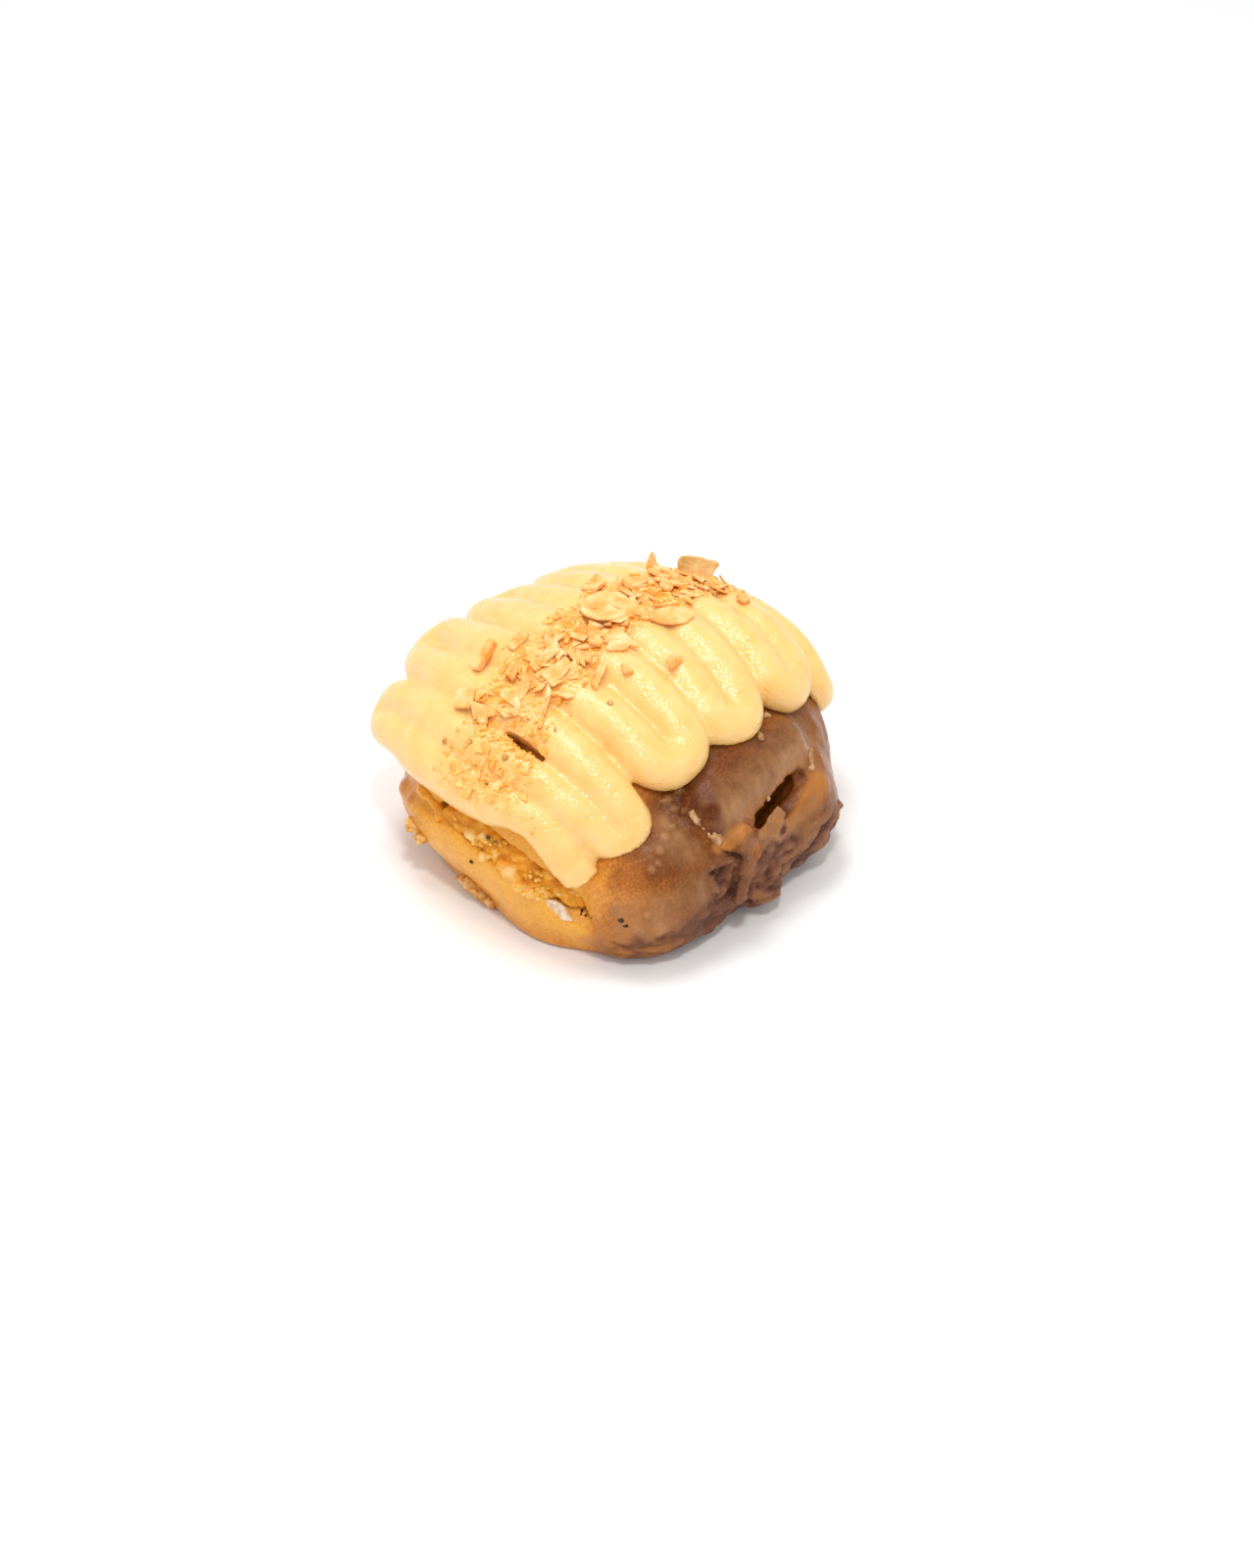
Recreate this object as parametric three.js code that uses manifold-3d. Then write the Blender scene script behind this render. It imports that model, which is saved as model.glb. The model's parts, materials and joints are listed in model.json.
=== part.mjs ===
// A glazed, folded sweet bun with a layer of crumbly filling that shows at its ends, a ribbon
// of custard cream piped to and fro over its top and a band of flaked almonds along the
// middle. Millimetres, +Z up, base on z = 0.
// +X runs along the piping, from the cut tip of the ribbon to its far end; -Y is the side
// with the open fold.

import * as THREE from 'three';
import { mergeVertices } from 'three/addons/utils/BufferGeometryUtils.js';
import Module from 'manifold-3d';

// ---- driving dimensions ----

// The dome that the ribbon's centre line lies on: a super-ellipsoid's upper half.
const DOME = { x: -0.6, y: 4.5, halfX: 49.5, halfY: 41.7, waistZ: 22, topZ: 53, plan: 2.6, side: 2.2 };

// The bun's lower body, fullest at the waist, and how far its top lies under the ribbon's centre.
const BODY = { x: -2.2, y: -1.5, halfX: 44.5, halfY: 44.5, waistZ: 19, up: 21, down: 28, plan: 2.6, upper: 2.3, lower: 3 };
const SINK = 3;
const BODY_BLEND = 8;

// Full folds of dough that swell out of the body: centre, half sizes, blend.
const BULGES = [
  { at: [-24.2, -30, 14], half: [18, 16, 17], blend: 5 },
  { at: [15.8, -32.5, 15], half: [15, 15, 15], blend: 4 },
  { at: [-1.2, -30, 31], half: [19, 11, 10], blend: 2 },
  { at: [27.4, -18.5, 20], half: [11, 15, 15.5], blend: 5 },
];

// Rods of dough that stand out: the inner roll and the shoulder of the lower fold.
const ROLLS = [
  { from: [-12, -37.6, 31.4], to: [15.5, -34.4, 32.6], r0: 6.2, r1: 5.4, blend: 4 },
  { from: [3.5, -43.2, 21], to: [18, -40.6, 23], r0: 3.4, r1: 4.2, blend: 2 },
];

// The filling: a layer rolled into the dough, seen end on. Its middle line falls away from a
// crest as a parabola, and it runs through the whole bun along X.
const FILLING = { crestY: 10, crestZ: 23.8, fall: 0.0075, midY: -7, halfY: 19.5, halfZ: 2.7, reach: 60 };
const FILLING_PROUD = 0.5;

// The end face: a smooth outer band of dough below the filling, and above it a shelf set back.
const SHELF = { depth: 2.6, fromX: 30, toX: 38, fromY: -33, toY: -25 };

// The base is pulled in under the corner at -X +Y.
const TUCK = { depth: 6.2, height: 17, fromX: 8, toX: 42, fromY: -22, toY: 12 };

// The foot of dough that squeezed out under the fold.
const FOOT = { at: [-4, -41.4, 9.6], half: [7, 6, 6] };

// Cuts: the crease up the side and the open pocket under the inner roll, as tapered rods.
const CUTS = [
  { from: [-12.6, -47, -3], to: [-12.6, -47.2, 13], r0: 2.6, r1: 1.9 },
  { from: [-12.6, -47.2, 13], to: [-13.2, -44.8, 24], r0: 1.8, r1: 1.2 },
  { from: [-5.8, -45.8, 25.8], to: [-0.5, -45, 25.2], r0: 1.6, r1: 2.6 },
  { from: [-0.5, -45, 25.2], to: [6.5, -44, 26.8], r0: 2.7, r1: 3 },
  { from: [6.5, -44, 26.8], to: [13.8, -41.8, 28.4], r0: 2.8, r1: 1.7 },
  { from: [-2, -41, 25], to: [10, -39, 26.8], r0: 3, r1: 3.2 },
];

// The piped ribbon: strands lie across the bun, in the dome's own unrolled coordinates.
// Each row is a strand's place at its +Y end, middle and -Y end, and the ribbon's half width.
const STRANDS = [
  [-32.6, -36.0, -38.6, 5.6],
  [-26.0, -28.4, -29.6, 5.6],
  [-18.0, -20.0, -23.6, 6.4],
  [-10.5, -12.2, -14.2, 7.0],
  [-3.2, -4.5, -6.6, 7.2],
  [3.4, 2.0, -0.6, 7.2],
  [9.6, 8.0, 6.4, 7.2],
  [15.6, 14.2, 15.4, 7.0],
  [22.0, 21.6, 22.8, 6.8],
  [28.6, 29.6, 32.4, 6.4],
  [35.0, 37.8, 42.6, 6.2],
];
const LEFT_REACH = [24.5, 23.2, 22.0, 20.4, 21.0, 20.5];
const RIGHT_REACH = [-27.0, -20.8, -21.2, -20.0, -20.0];
const TIP_REACH = -30;
const RIBBON_HALF_HEIGHT = 5.7;
const OVERHANG = 2;
const HALF_SPAN = 26;
const PRESSED_SINK = 0.6;
const BACK_SINK = 1.4;
// The first strand bends inward a little before its cut tip.
const FIRST_BEND = { by: 2.4, at: -16, width: 6 };

// Clear space between pieces that rest on each other.
const GAP = 0.3;
const FACET_ALLOWANCE = 0.2;

const COLOURS = { dough: '#a9682f', filling: '#eeb044', cream: '#ffdf90', almond: '#f6cf93', skin: '#c99a55' };

// ---- small maths ----

const clamp01 = (v) => Math.min(1, Math.max(0, v));

function step(v, from, to) {
  const u = clamp01((v - from) / (to - from));
  return u * u * (3 - 2 * u);
}

function superNorm(x, y, a, b, n) {
  return (Math.abs(x / a) ** n + Math.abs(y / b) ** n) ** (1 / n);
}

function smoothMin(a, b, k) {
  const h = clamp01(0.5 + (0.5 * (b - a)) / k);
  return b + (a - b) * h - k * h * (1 - h);
}

// Turns a shape function that is 1 on the surface into a near-true distance.
function distanceTo(shape, p) {
  const e = 0.25;
  const d = [0, 1, 2].map((k) => {
    const a = p.clone();
    const b = p.clone();
    a.setComponent(k, a.getComponent(k) + e);
    b.setComponent(k, b.getComponent(k) - e);
    return (shape(a) - shape(b)) / (2 * e);
  });
  return (shape(p) - 1) / Math.max(Math.hypot(...d), 0.002);
}

// ---- the dome ----

function domeShape(p) {
  const rho = superNorm(p.x - DOME.x, p.y - DOME.y, DOME.halfX, DOME.halfY, DOME.plan);
  const rise = Math.max(0, p.z - DOME.waistZ) / (DOME.topZ - DOME.waistZ);
  return (rho ** DOME.side + rise ** DOME.side) ** (1 / DOME.side);
}

// A point of the dome from unrolled coordinates: equal steps are near-equal lengths of surface.
function onDome(s, t) {
  const rho = Math.max(superNorm(s, t, DOME.halfX, DOME.halfY, DOME.plan), 1e-6);
  const angle = (Math.min(rho, 1.3) * Math.PI) / 2;
  const k = Math.abs(Math.sin(angle)) ** (2 / DOME.side) / rho;
  const c = Math.cos(angle);
  const z = DOME.waistZ + Math.sign(c) * (DOME.topZ - DOME.waistZ) * Math.abs(c) ** (2 / DOME.side);
  return new THREE.Vector3(DOME.x + s * k, DOME.y + t * k, z);
}

function domeNormal(s, t) {
  const e = 0.2;
  const along = onDome(s + e, t).sub(onDome(s - e, t));
  const across = onDome(s, t + e).sub(onDome(s, t - e));
  return along.cross(across).normalize();
}

// The unrolled coordinates of the dome's point above (x, y).
function unrolled(x, y) {
  const spread = superNorm(x - DOME.x, y - DOME.y, DOME.halfX, DOME.halfY, DOME.plan);
  const k = spread / ((Math.asin(spread ** (DOME.side / 2)) * 2) / Math.PI);
  return [(x - DOME.x) / k, (y - DOME.y) / k];
}

function domeAt(x, y) {
  const rho = superNorm(x - DOME.x, y - DOME.y, DOME.halfX, DOME.halfY, DOME.plan);
  const z = DOME.waistZ + (DOME.topZ - DOME.waistZ) * (1 - rho ** DOME.side) ** (1 / DOME.side);
  return new THREE.Vector3(x, y, z);
}

// ---- the dough ----

function bodyShape(p) {
  const rho = superNorm(p.x - BODY.x, p.y - BODY.y, BODY.halfX, BODY.halfY, BODY.plan);
  const above = p.z >= BODY.waistZ;
  const m = above ? BODY.upper : BODY.lower;
  const rise = Math.abs(p.z - BODY.waistZ) / (above ? BODY.up : BODY.down);
  return (rho ** m + rise ** m) ** (1 / m);
}

function rollDistance(p, { from, to, r0, r1 }) {
  const start = new THREE.Vector3(...from);
  const along = new THREE.Vector3(...to).sub(start);
  const gap = p.clone().sub(start);
  const u = clamp01(gap.dot(along) / along.lengthSq());
  return gap.addScaledVector(along, -u).length() - (r0 + (r1 - r0) * u);
}

function bulgeDistance(p, { at, half }) {
  const d = Math.hypot(...[0, 1, 2].map((k) => (p.getComponent(k) - at[k]) / half[k]));
  return (d - 1) * Math.min(...half);
}

function fillingLine(y) {
  return FILLING.crestZ - FILLING.fall * (y - FILLING.crestY) ** 2;
}

function doughDistance(p) {
  let d = smoothMin(distanceTo(domeShape, p) + SINK, distanceTo(bodyShape, p), BODY_BLEND);
  for (const bulge of BULGES) d = smoothMin(d, bulgeDistance(p, bulge), bulge.blend);
  for (const roll of ROLLS) d = smoothMin(d, rollDistance(p, roll), roll.blend);
  const above = step(p.z - fillingLine(p.y) + FILLING.halfZ, -0.8, 1.2);
  const shelf = above * step(-p.x, SHELF.fromX, SHELF.toX) * step(p.y, SHELF.fromY, SHELF.toY);
  const low = step(TUCK.height - p.z, 0, TUCK.height);
  const tuck = low * step(-p.x, TUCK.fromX, TUCK.toX) * step(p.y, TUCK.fromY, TUCK.toY);
  return d + SHELF.depth * shelf + TUCK.depth * tuck;
}

// A sphere whose points are moved along their own rays out to the dough's surface, grown by
// `grow`, and down to a flat base.
function doughSkin(grow, columns, rows) {
  const core = new THREE.Vector3(0, 0, 16);
  const sphere = new THREE.SphereGeometry(1, columns, rows).rotateX(Math.PI / 2);
  const points = sphere.attributes.position;
  const ray = new THREE.Vector3();
  for (let i = 0; i < points.count; i += 1) {
    ray.fromBufferAttribute(points, i).normalize();
    let near = 5;
    let far = 90;
    for (let k = 0; k < 26; k += 1) {
      const middle = (near + far) / 2;
      if (doughDistance(core.clone().addScaledVector(ray, middle)) > grow) far = middle;
      else near = middle;
    }
    const toFloor = ray.z < 0 ? (core.z + grow) / -ray.z : Infinity;
    const point = core.clone().addScaledVector(ray, Math.min(near, toFloor));
    points.setXYZ(i, point.x, point.y, point.z);
  }
  return sphere;
}

// A rod with round ends between two points, thicker at one end.
function rod({ from, to, r0, r1 }) {
  const a = new THREE.Vector3(...from);
  const b = new THREE.Vector3(...to);
  const length = a.distanceTo(b);
  const shape = new THREE.CapsuleGeometry(1, length, 3, 10, 2);
  const points = shape.attributes.position;
  for (let i = 0; i < points.count; i += 1) {
    const u = clamp01(points.getY(i) / length + 0.5);
    const r = r0 + (r1 - r0) * u;
    const y = (u - 0.5) * length + (points.getY(i) - (u - 0.5) * length) * r;
    points.setXYZ(i, points.getX(i) * r, y, points.getZ(i) * r);
  }
  const turn = new THREE.Quaternion().setFromUnitVectors(
    new THREE.Vector3(0, 1, 0),
    b.clone().sub(a).normalize(),
  );
  return shape.applyQuaternion(turn).translate(...a.add(b).multiplyScalar(0.5).toArray());
}

// ---- solids ----

const wasm = await Module();
wasm.setup();

function toSolid(geometry) {
  const bare = geometry.clone();
  bare.deleteAttribute('normal');
  bare.deleteAttribute('uv');
  const merged = mergeVertices(bare, 1e-4);
  const triangles = [];
  for (let i = 0; i < merged.index.count; i += 3) {
    const [a, b, c] = [0, 1, 2].map((k) => merged.index.getX(i + k));
    if (a !== b && b !== c && c !== a) triangles.push(a, b, c);
  }
  const vertProperties = new Float32Array(merged.attributes.position.array);
  return new wasm.Manifold(
    new wasm.Mesh({ numProp: 3, vertProperties, triVerts: new Uint32Array(triangles) }),
  );
}

function toGeometry(solid) {
  const mesh = solid.getMesh();
  const geometry = new THREE.BufferGeometry();
  geometry.setAttribute('position', new THREE.BufferAttribute(mesh.vertProperties, 3));
  geometry.setIndex(new THREE.BufferAttribute(mesh.triVerts, 1));
  geometry.computeVertexNormals();
  return geometry;
}

const part = new THREE.Group();

function addMesh(name, geometry, colour, roughness) {
  const material = new THREE.MeshStandardMaterial({ color: colour, roughness, metalness: 0 });
  const mesh = new THREE.Mesh(geometry, material);
  mesh.name = name;
  part.add(mesh);
}

// ---- the filling ----

// The layer as a long flat bar whose section is an ellipse bent down along its middle line.
function fillingBar(grow) {
  const section = new THREE.Shape();
  section.absellipse(0, 0, FILLING.halfY + grow, FILLING.halfZ + grow, 0, 2 * Math.PI);
  const bar = new THREE.ExtrudeGeometry(section, {
    depth: 2 * FILLING.reach,
    bevelEnabled: false,
    steps: 1,
    curveSegments: 10,
  });
  const points = bar.attributes.position;
  for (let i = 0; i < points.count; i += 1) {
    const y = FILLING.midY + points.getX(i);
    points.setXYZ(i, points.getZ(i) - FILLING.reach, y, fillingLine(y) + points.getY(i));
  }
  return toSolid(bar);
}

function makeFilling() {
  return fillingBar(0).intersect(toSolid(doughSkin(FILLING_PROUD, 40, 24)));
}

// ---- the bun ----

function makeBun() {
  let bun = toSolid(doughSkin(0, 56, 32)).subtract(fillingBar(GAP));
  const foot = new THREE.SphereGeometry(1, 12, 8).scale(...FOOT.half).translate(...FOOT.at);
  bun = bun.add(toSolid(foot));
  for (const cut of CUTS) bun = bun.subtract(toSolid(rod(cut)));
  return bun;
}

// ---- the cream ribbon ----

// Where a strand's middle line runs: it bows from its +Y end through the middle to its -Y end.
function strandPlace(i, t) {
  const [left, middle, right] = STRANDS[i];
  const u = Math.min(1.2, Math.abs(t) / HALF_SPAN) ** 1.5;
  const bend = i === 0 ? FIRST_BEND.by * Math.exp(-(((t - FIRST_BEND.at) / FIRST_BEND.width) ** 2)) : 0;
  return middle + ((t > 0 ? left : right) - middle) * u + bend;
}

// How far the ribbon's middle line is above the dome: out past the bun's edge at the +Y end, and
// pressed down along the middle and towards the far end.
function ribbonLift(s, t) {
  const pressed = step(t, -14, -2) * (1 - step(t, 13, 23));
  const atBack = step(s, -10, 6);
  const out = OVERHANG * step(t, 18, 30) * (1 - atBack);
  return out - PRESSED_SINK * pressed - BACK_SINK * atBack * step(t, -6, 10);
}

// Bends an upright capsule of half width w along path(u), u from 0 to 1, on the dome.
function bendOnDome(path, length, w, rings) {
  const shape = new THREE.CapsuleGeometry(1, length, 2, 10, rings);
  const points = shape.attributes.position;
  for (let i = 0; i < points.count; i += 1) {
    const along = points.getY(i) / length + 0.5;
    const u = clamp01(along);
    const cap = (along - u) * length;
    const [s, t] = path(u);
    const [s1, t1] = path(Math.min(1, u + 0.02));
    const [s0, t0] = path(Math.max(0, u - 0.02));
    const up = domeNormal(s, t);
    const forward = onDome(s1, t1).sub(onDome(s0, t0));
    forward.addScaledVector(up, -forward.dot(up)).normalize();
    const side = forward.clone().cross(up);
    const lift = ribbonLift(s, t);
    const point = onDome(s, t)
      .addScaledVector(up, lift + points.getZ(i) * RIBBON_HALF_HEIGHT)
      .addScaledVector(side, points.getX(i) * w)
      .addScaledVector(forward, cap * w);
    points.setXYZ(i, point.x, point.y, point.z);
  }
  return shape;
}

function makeStrand(i) {
  const backward = i % 2 === 1;
  const left = LEFT_REACH[Math.floor(i / 2)];
  let right = TIP_REACH;
  if (i > 0) right = RIGHT_REACH[Math.floor((i - 1) / 2)];
  const [from, to] = backward ? [left, right] : [right, left];
  const path = (u) => [strandPlace(i, from + (to - from) * u), from + (to - from) * u];
  return bendOnDome(path, Math.abs(to - from) * 1.3, STRANDS[i][3], 8);
}

// The half turn from strand i to the next one.
function makeTurn(i) {
  const atLeft = i % 2 === 0;
  const t = atLeft ? LEFT_REACH[i / 2] : RIGHT_REACH[(i - 1) / 2];
  const [s0, s1] = [strandPlace(i, t), strandPlace(i + 1, t)];
  const middle = (s0 + s1) / 2;
  const r = (s1 - s0) / 2;
  const sign = atLeft ? 1 : -1;
  const path = (u) => [middle - r * Math.cos(Math.PI * u), t + sign * r * Math.sin(Math.PI * u)];
  const width = Math.min(STRANDS[i][3], STRANDS[i + 1][3]) * 0.88;
  return bendOnDome(path, Math.PI * r, width, 6);
}

function makeCream() {
  let cream = toSolid(makeStrand(0));
  for (let i = 1; i < STRANDS.length; i += 1) {
    cream = cream.add(toSolid(makeTurn(i - 1))).add(toSolid(makeStrand(i)));
  }
  return cream.subtract(toSolid(doughSkin(GAP + FACET_ALLOWANCE, 56, 32)));
}

// ---- the almonds ----

// A flake from an outline, with a shallow bend about its own Y axis.
function flake(outline, thickness, bend) {
  const shape = new THREE.ExtrudeGeometry(outline, {
    depth: thickness,
    bevelEnabled: false,
    steps: 1,
    curveSegments: 12,
  });
  const points = shape.attributes.position;
  for (let i = 0; i < points.count; i += 1) {
    points.setZ(i, points.getZ(i) + bend * points.getX(i) ** 2);
  }
  return shape;
}

function polygon(...corners) {
  return new THREE.Shape(corners.map(([x, y]) => new THREE.Vector2(x, y)));
}

function ellipse(halfX, halfY) {
  return new THREE.Shape().absellipse(0, 0, halfX, halfY, 0, 2 * Math.PI);
}

// Lays a piece on the ribbon's crowns at (x, y): lifted, tilted about its own X and Y axes and
// turned about the surface's normal, or about the vertical if it stands upright.
function layOnCream(geometry, { x, y, lift = 0, tilt = [0, 0], turn = 0, upright = false }) {
  const ground = domeAt(x, y);
  const e = 0.5;
  const along = domeAt(x + e, y).sub(domeAt(x - e, y));
  const across = domeAt(x, y + e).sub(domeAt(x, y - e));
  const up = along.cross(across).normalize();
  geometry.rotateX(tilt[0]).rotateY(tilt[1]).rotateZ(turn);
  const vertical = new THREE.Vector3(0, 0, 1);
  if (!upright) geometry.applyQuaternion(new THREE.Quaternion().setFromUnitVectors(vertical, up));
  const sunk = ribbonLift(...unrolled(x, y));
  ground.addScaledVector(up, RIBBON_HALF_HEIGHT + GAP + sunk + lift);
  return geometry.translate(...ground.toArray());
}

const ALMONDS = {
  almond_round: [flake(ellipse(6.2, 5.6), 0.9, 0.006), { x: 1.6, y: 6.6, turn: 0.3, lift: 0.1 }],
  almond_standing: [
    flake(polygon([-4.4, -2.4], [2.8, -2.6], [5.2, 1.3], [0.4, 2.5], [-3.9, 3.1], [-5, 1.2]), 1.5, 0.01),
    { x: 34.8, y: 8.1, tilt: [1.2, 0], turn: -0.82, lift: 3.1, upright: true },
  ],
  almond_curled: [
    flake(polygon([-5.6, -0.6], [-2.4, -2.4], [3.4, -2.2], [6, 0.2], [2.4, 2.4], [-2.6, 2.2]), 0.9, 0.02),
    { x: 9.2, y: -6.2, tilt: [0.25, 0], turn: -0.55, lift: 0.9 },
  ],
  almond_triangle: [
    flake(polygon([-4, -2.8], [4.4, -0.6], [0.6, 1.6], [-2, 3.6]), 0.9, 0.008),
    { x: -5.2, y: -5, turn: -1.1, tilt: [0.1, 0.12], lift: 0.5 },
  ],
  almond_square: [
    flake(polygon([-3.6, -2.6], [3.2, -3], [3.8, 2.4], [-3, 2.8]), 0.9, 0.006),
    { x: -22.4, y: -1.6, turn: -0.2, lift: 0.2 },
  ],
  almond_stick: [
    flake(polygon([-4.6, -1.3], [4.2, -1.4], [4.8, 1.1], [-4.2, 1.3]), 1.8, 0.004),
    { x: -26.6, y: 17.2, turn: 0.25, lift: 0.1 },
  ],
  almond_chip: [
    flake(polygon([-2.6, -2.2], [2.4, -2.6], [2.8, 2], [-2.2, 2.5]), 0.9, 0.01),
    { x: -36.8, y: 13.4, turn: 0.5, lift: 0.2 },
  ],
};

// ---- assembly ----

addMesh('bun', toGeometry(makeBun()), COLOURS.dough, 0.4);
addMesh('filling', toGeometry(makeFilling()), COLOURS.filling, 0.8);
addMesh('cream', toGeometry(makeCream()), COLOURS.cream, 0.35);
for (const [name, [geometry, place]] of Object.entries(ALMONDS)) {
  const colour = name === 'almond_standing' ? COLOURS.skin : COLOURS.almond;
  addMesh(name, toGeometry(toSolid(layOnCream(geometry, place))), colour, 0.6);
}

export default part;
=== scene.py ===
"""A glazed, folded sweet bun with a ribbon of custard cream piped to and fro over its top and a
band of flaked almonds along the middle. +X runs along the piping, -Y is the side with the open
fold. Shapes are worked out in millimetres, and MM turns them into metres when a mesh is made."""

import json
import math

import bpy
import numpy as np
import openvdb
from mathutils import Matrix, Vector
from mathutils.bvhtree import BVHTree

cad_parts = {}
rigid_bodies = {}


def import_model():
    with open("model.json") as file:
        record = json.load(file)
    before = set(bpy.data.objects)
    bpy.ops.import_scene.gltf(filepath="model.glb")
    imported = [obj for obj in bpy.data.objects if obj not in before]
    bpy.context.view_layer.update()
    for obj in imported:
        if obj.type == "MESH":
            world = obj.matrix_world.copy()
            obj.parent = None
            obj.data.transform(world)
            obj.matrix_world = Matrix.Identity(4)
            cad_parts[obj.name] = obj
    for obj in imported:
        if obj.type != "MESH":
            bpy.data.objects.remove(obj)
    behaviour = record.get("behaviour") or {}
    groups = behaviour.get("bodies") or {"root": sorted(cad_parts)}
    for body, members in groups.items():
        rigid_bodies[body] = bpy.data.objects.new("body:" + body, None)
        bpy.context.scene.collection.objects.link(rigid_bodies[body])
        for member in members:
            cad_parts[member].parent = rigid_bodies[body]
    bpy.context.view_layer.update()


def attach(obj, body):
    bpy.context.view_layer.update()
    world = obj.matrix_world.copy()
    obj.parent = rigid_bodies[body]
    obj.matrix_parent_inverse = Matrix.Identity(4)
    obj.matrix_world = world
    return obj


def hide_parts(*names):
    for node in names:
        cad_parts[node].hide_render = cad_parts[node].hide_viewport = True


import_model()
MM = 0.001

# ---------------------------------------------------------------------------------------------
# The bun: one piece of enriched dough, rolled and folded, glazed with egg and baked. It is
# smooth where the glaze ran and torn where the folds opened in the oven. Its shape is a signed
# distance on a grid, which the folds are joined to and the creases are cut from.

DOME_X, DOME_Y, DOME_HALF_X, DOME_HALF_Y = -0.6, 4.5, 49.5, 41.7
DOME_WAIST, DOME_TOP = 22.0, 53.0
PLAN_POWER, DOME_POWER = 2.6, 2.2
BODY_X, BODY_Y, BODY_HALF_X, BODY_HALF_Y, BODY_WAIST = -2.2, -1.5, 44.5, 44.5, 19.0
BODY_UP, BODY_DOWN, BODY_UPPER_POWER, BODY_LOWER_POWER = 21.0, 28.0, 2.3, 3.0
SINK = 3.0
BODY_BLEND = 8.0
SWELLS = [
    ((-24.2, -30.0, 14.0), (18, 16, 17), 5),
    ((15.8, -32.5, 15.0), (15, 15, 15), 4),
    ((-1.2, -30.0, 31.0), (19, 11, 10), 2),
    ((27.4, -18.5, 20.0), (11.0, 15, 15.5), 5),
    ((-1.5, -42.8, 8.2), (6.2, 5.6, 6.6), 1.0),
]
SHELF_DEPTH, TUCK_DEPTH, TUCK_HEIGHT = 2.6, 6.2, 17.0
FILLING_CREST_Y, FILLING_CREST_Z, FILLING_FALL = 10.0, 23.8, 0.0075
FILLING_MID_Y, FILLING_HALF_Y, FILLING_HALF_Z = -7.0, 19.5, 2.7
# Rods of dough that stand out: the inner roll and the shoulder of the lower fold.
ROLLS = [
    ((-12.0, -37.6, 31.4), (15.5, -34.4, 32.6), 6.2, 5.4, 4.0),
    ((3.5, -43.2, 21.0), (18.0, -40.6, 23.0), 3.4, 4.2, 2.0),
]
CREASE = [
    ((-12.6, -48.5, -2.0), (-12.6, -48.5, 13.0), 2.4, 1.8, 1.0),
    ((-12.6, -48.2, 13.0), (-13.2, -45.6, 24.0), 1.5, 1.1, 0.8),
    ((-15.2, -41.6, 30.0), (-12.8, -38.8, 34.6), 0.9, 1.2, 0.8),
]
POCKET = [
    ((-5.8, -46.4, 25.8), (-0.5, -45.7, 25.2), 1.2, 2.6, 0.7),
    ((-0.5, -45.7, 25.2), (6.5, -44.6, 26.8), 2.7, 3.0, 0.7),
    ((6.5, -44.6, 26.8), (13.8, -42.4, 28.4), 2.8, 1.5, 0.7),
    ((-2.0, -41.0, 25.0), (10.0, -39.0, 26.8), 3.2, 3.4, 1.0),
    ((2.2, -47.2, 24.4), (3.4, -46.8, 20.8), 1.1, 0.7, 0.4),
]
# The lip of dough that was folded back beside the crease: its corners, and the sheets between.
LIP_CORNERS = {
    "left": (-15.8, -44.6, 26.6), "crest": (-8.6, -45.2, 28.0), "tip": (-6.2, -46.0, 25.9),
    "right": (-6.1, -47.2, 20.8), "low": (-8.5, -47.8, 16.4), "foot": (-13.0, -47.6, 11.0),
    "fold": (-11.6, -48.0, 24.2), "knee": (-9.6, -46.6, 20.0),
}
LIP_SHEETS = [
    ("left", "crest", "fold"), ("crest", "tip", "fold"), ("tip", "right", "knee"),
    ("fold", "tip", "knee"), ("right", "low", "knee"), ("low", "foot", "knee"),
]
LIP_THICKNESS = 1.2
# The torn shred of dough that stands in the open pocket.
SHRED_CORNERS = {
    "base": (-3.9, -45.6, 23.4), "peak": (3.1, -44.9, 27.0), "side": (4.6, -45.6, 24.9),
    "low": (0.6, -46.6, 21.4), "notch": (2.6, -46.4, 23.3), "inner": (0.2, -44.8, 25.2),
}
SHRED_SHEETS = [
    ("base", "inner", "low"), ("inner", "peak", "notch"), ("inner", "notch", "low"),
    ("peak", "side", "notch"),
]
SHRED_THICKNESS = 1.1
# Blisters that the glaze raised, each with its radius.
BLISTERS = [
    ((-25.9, -37.1, 31.1), 1.3), ((-28.9, -38.0, 29.4), 1.4), ((-32.3, -39.0, 26.7), 1.2),
    ((-41.5, -29.2, 17.9), 0.9), ((-40.4, -35.4, 19.7), 0.8), ((-36.3, -41.4, 17.6), 0.9),
    ((-19.9, -32.4, 35.7), 1.3), ((-16.9, -32.8, 36.7), 1.2), ((-16.7, -35.3, 34.9), 1.5),
    ((-20.2, -34.2, 34.3), 1.2), ((-20.8, -32.1, 35.5), 1.0), ((-18.6, -36.0, 33.4), 1.3),
    ((-27.5, -36.4, 31.8), 0.8), ((-30.6, -39.3, 27.6), 0.9), ((-22.8, -36.9, 32.4), 0.8),
]

GRID_STEP = 0.68
GRID_LOW = np.array([-54.0, -52.0, -2.6])
GRID_COUNTS = (160, 154, 95)
GRID_AXES = [GRID_LOW[k] + GRID_STEP * np.arange(GRID_COUNTS[k]) for k in range(3)]
GRID = [g.astype(np.float32) for g in np.meshgrid(*GRID_AXES, indexing="ij")]


def step(value, start, end):
    """A smooth rise from 0 at the start to 1 at the end."""
    u = np.clip((value - start) / (end - start), 0, 1)
    return u * u * (3 - 2 * u)


def smooth_min(a, b, blend):
    """Joins two distances with a fillet about `blend` wide."""
    h = np.clip(0.5 + 0.5 * (b - a) / blend, 0, 1)
    return b + (a - b) * h - blend * h * (1 - h)


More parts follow.
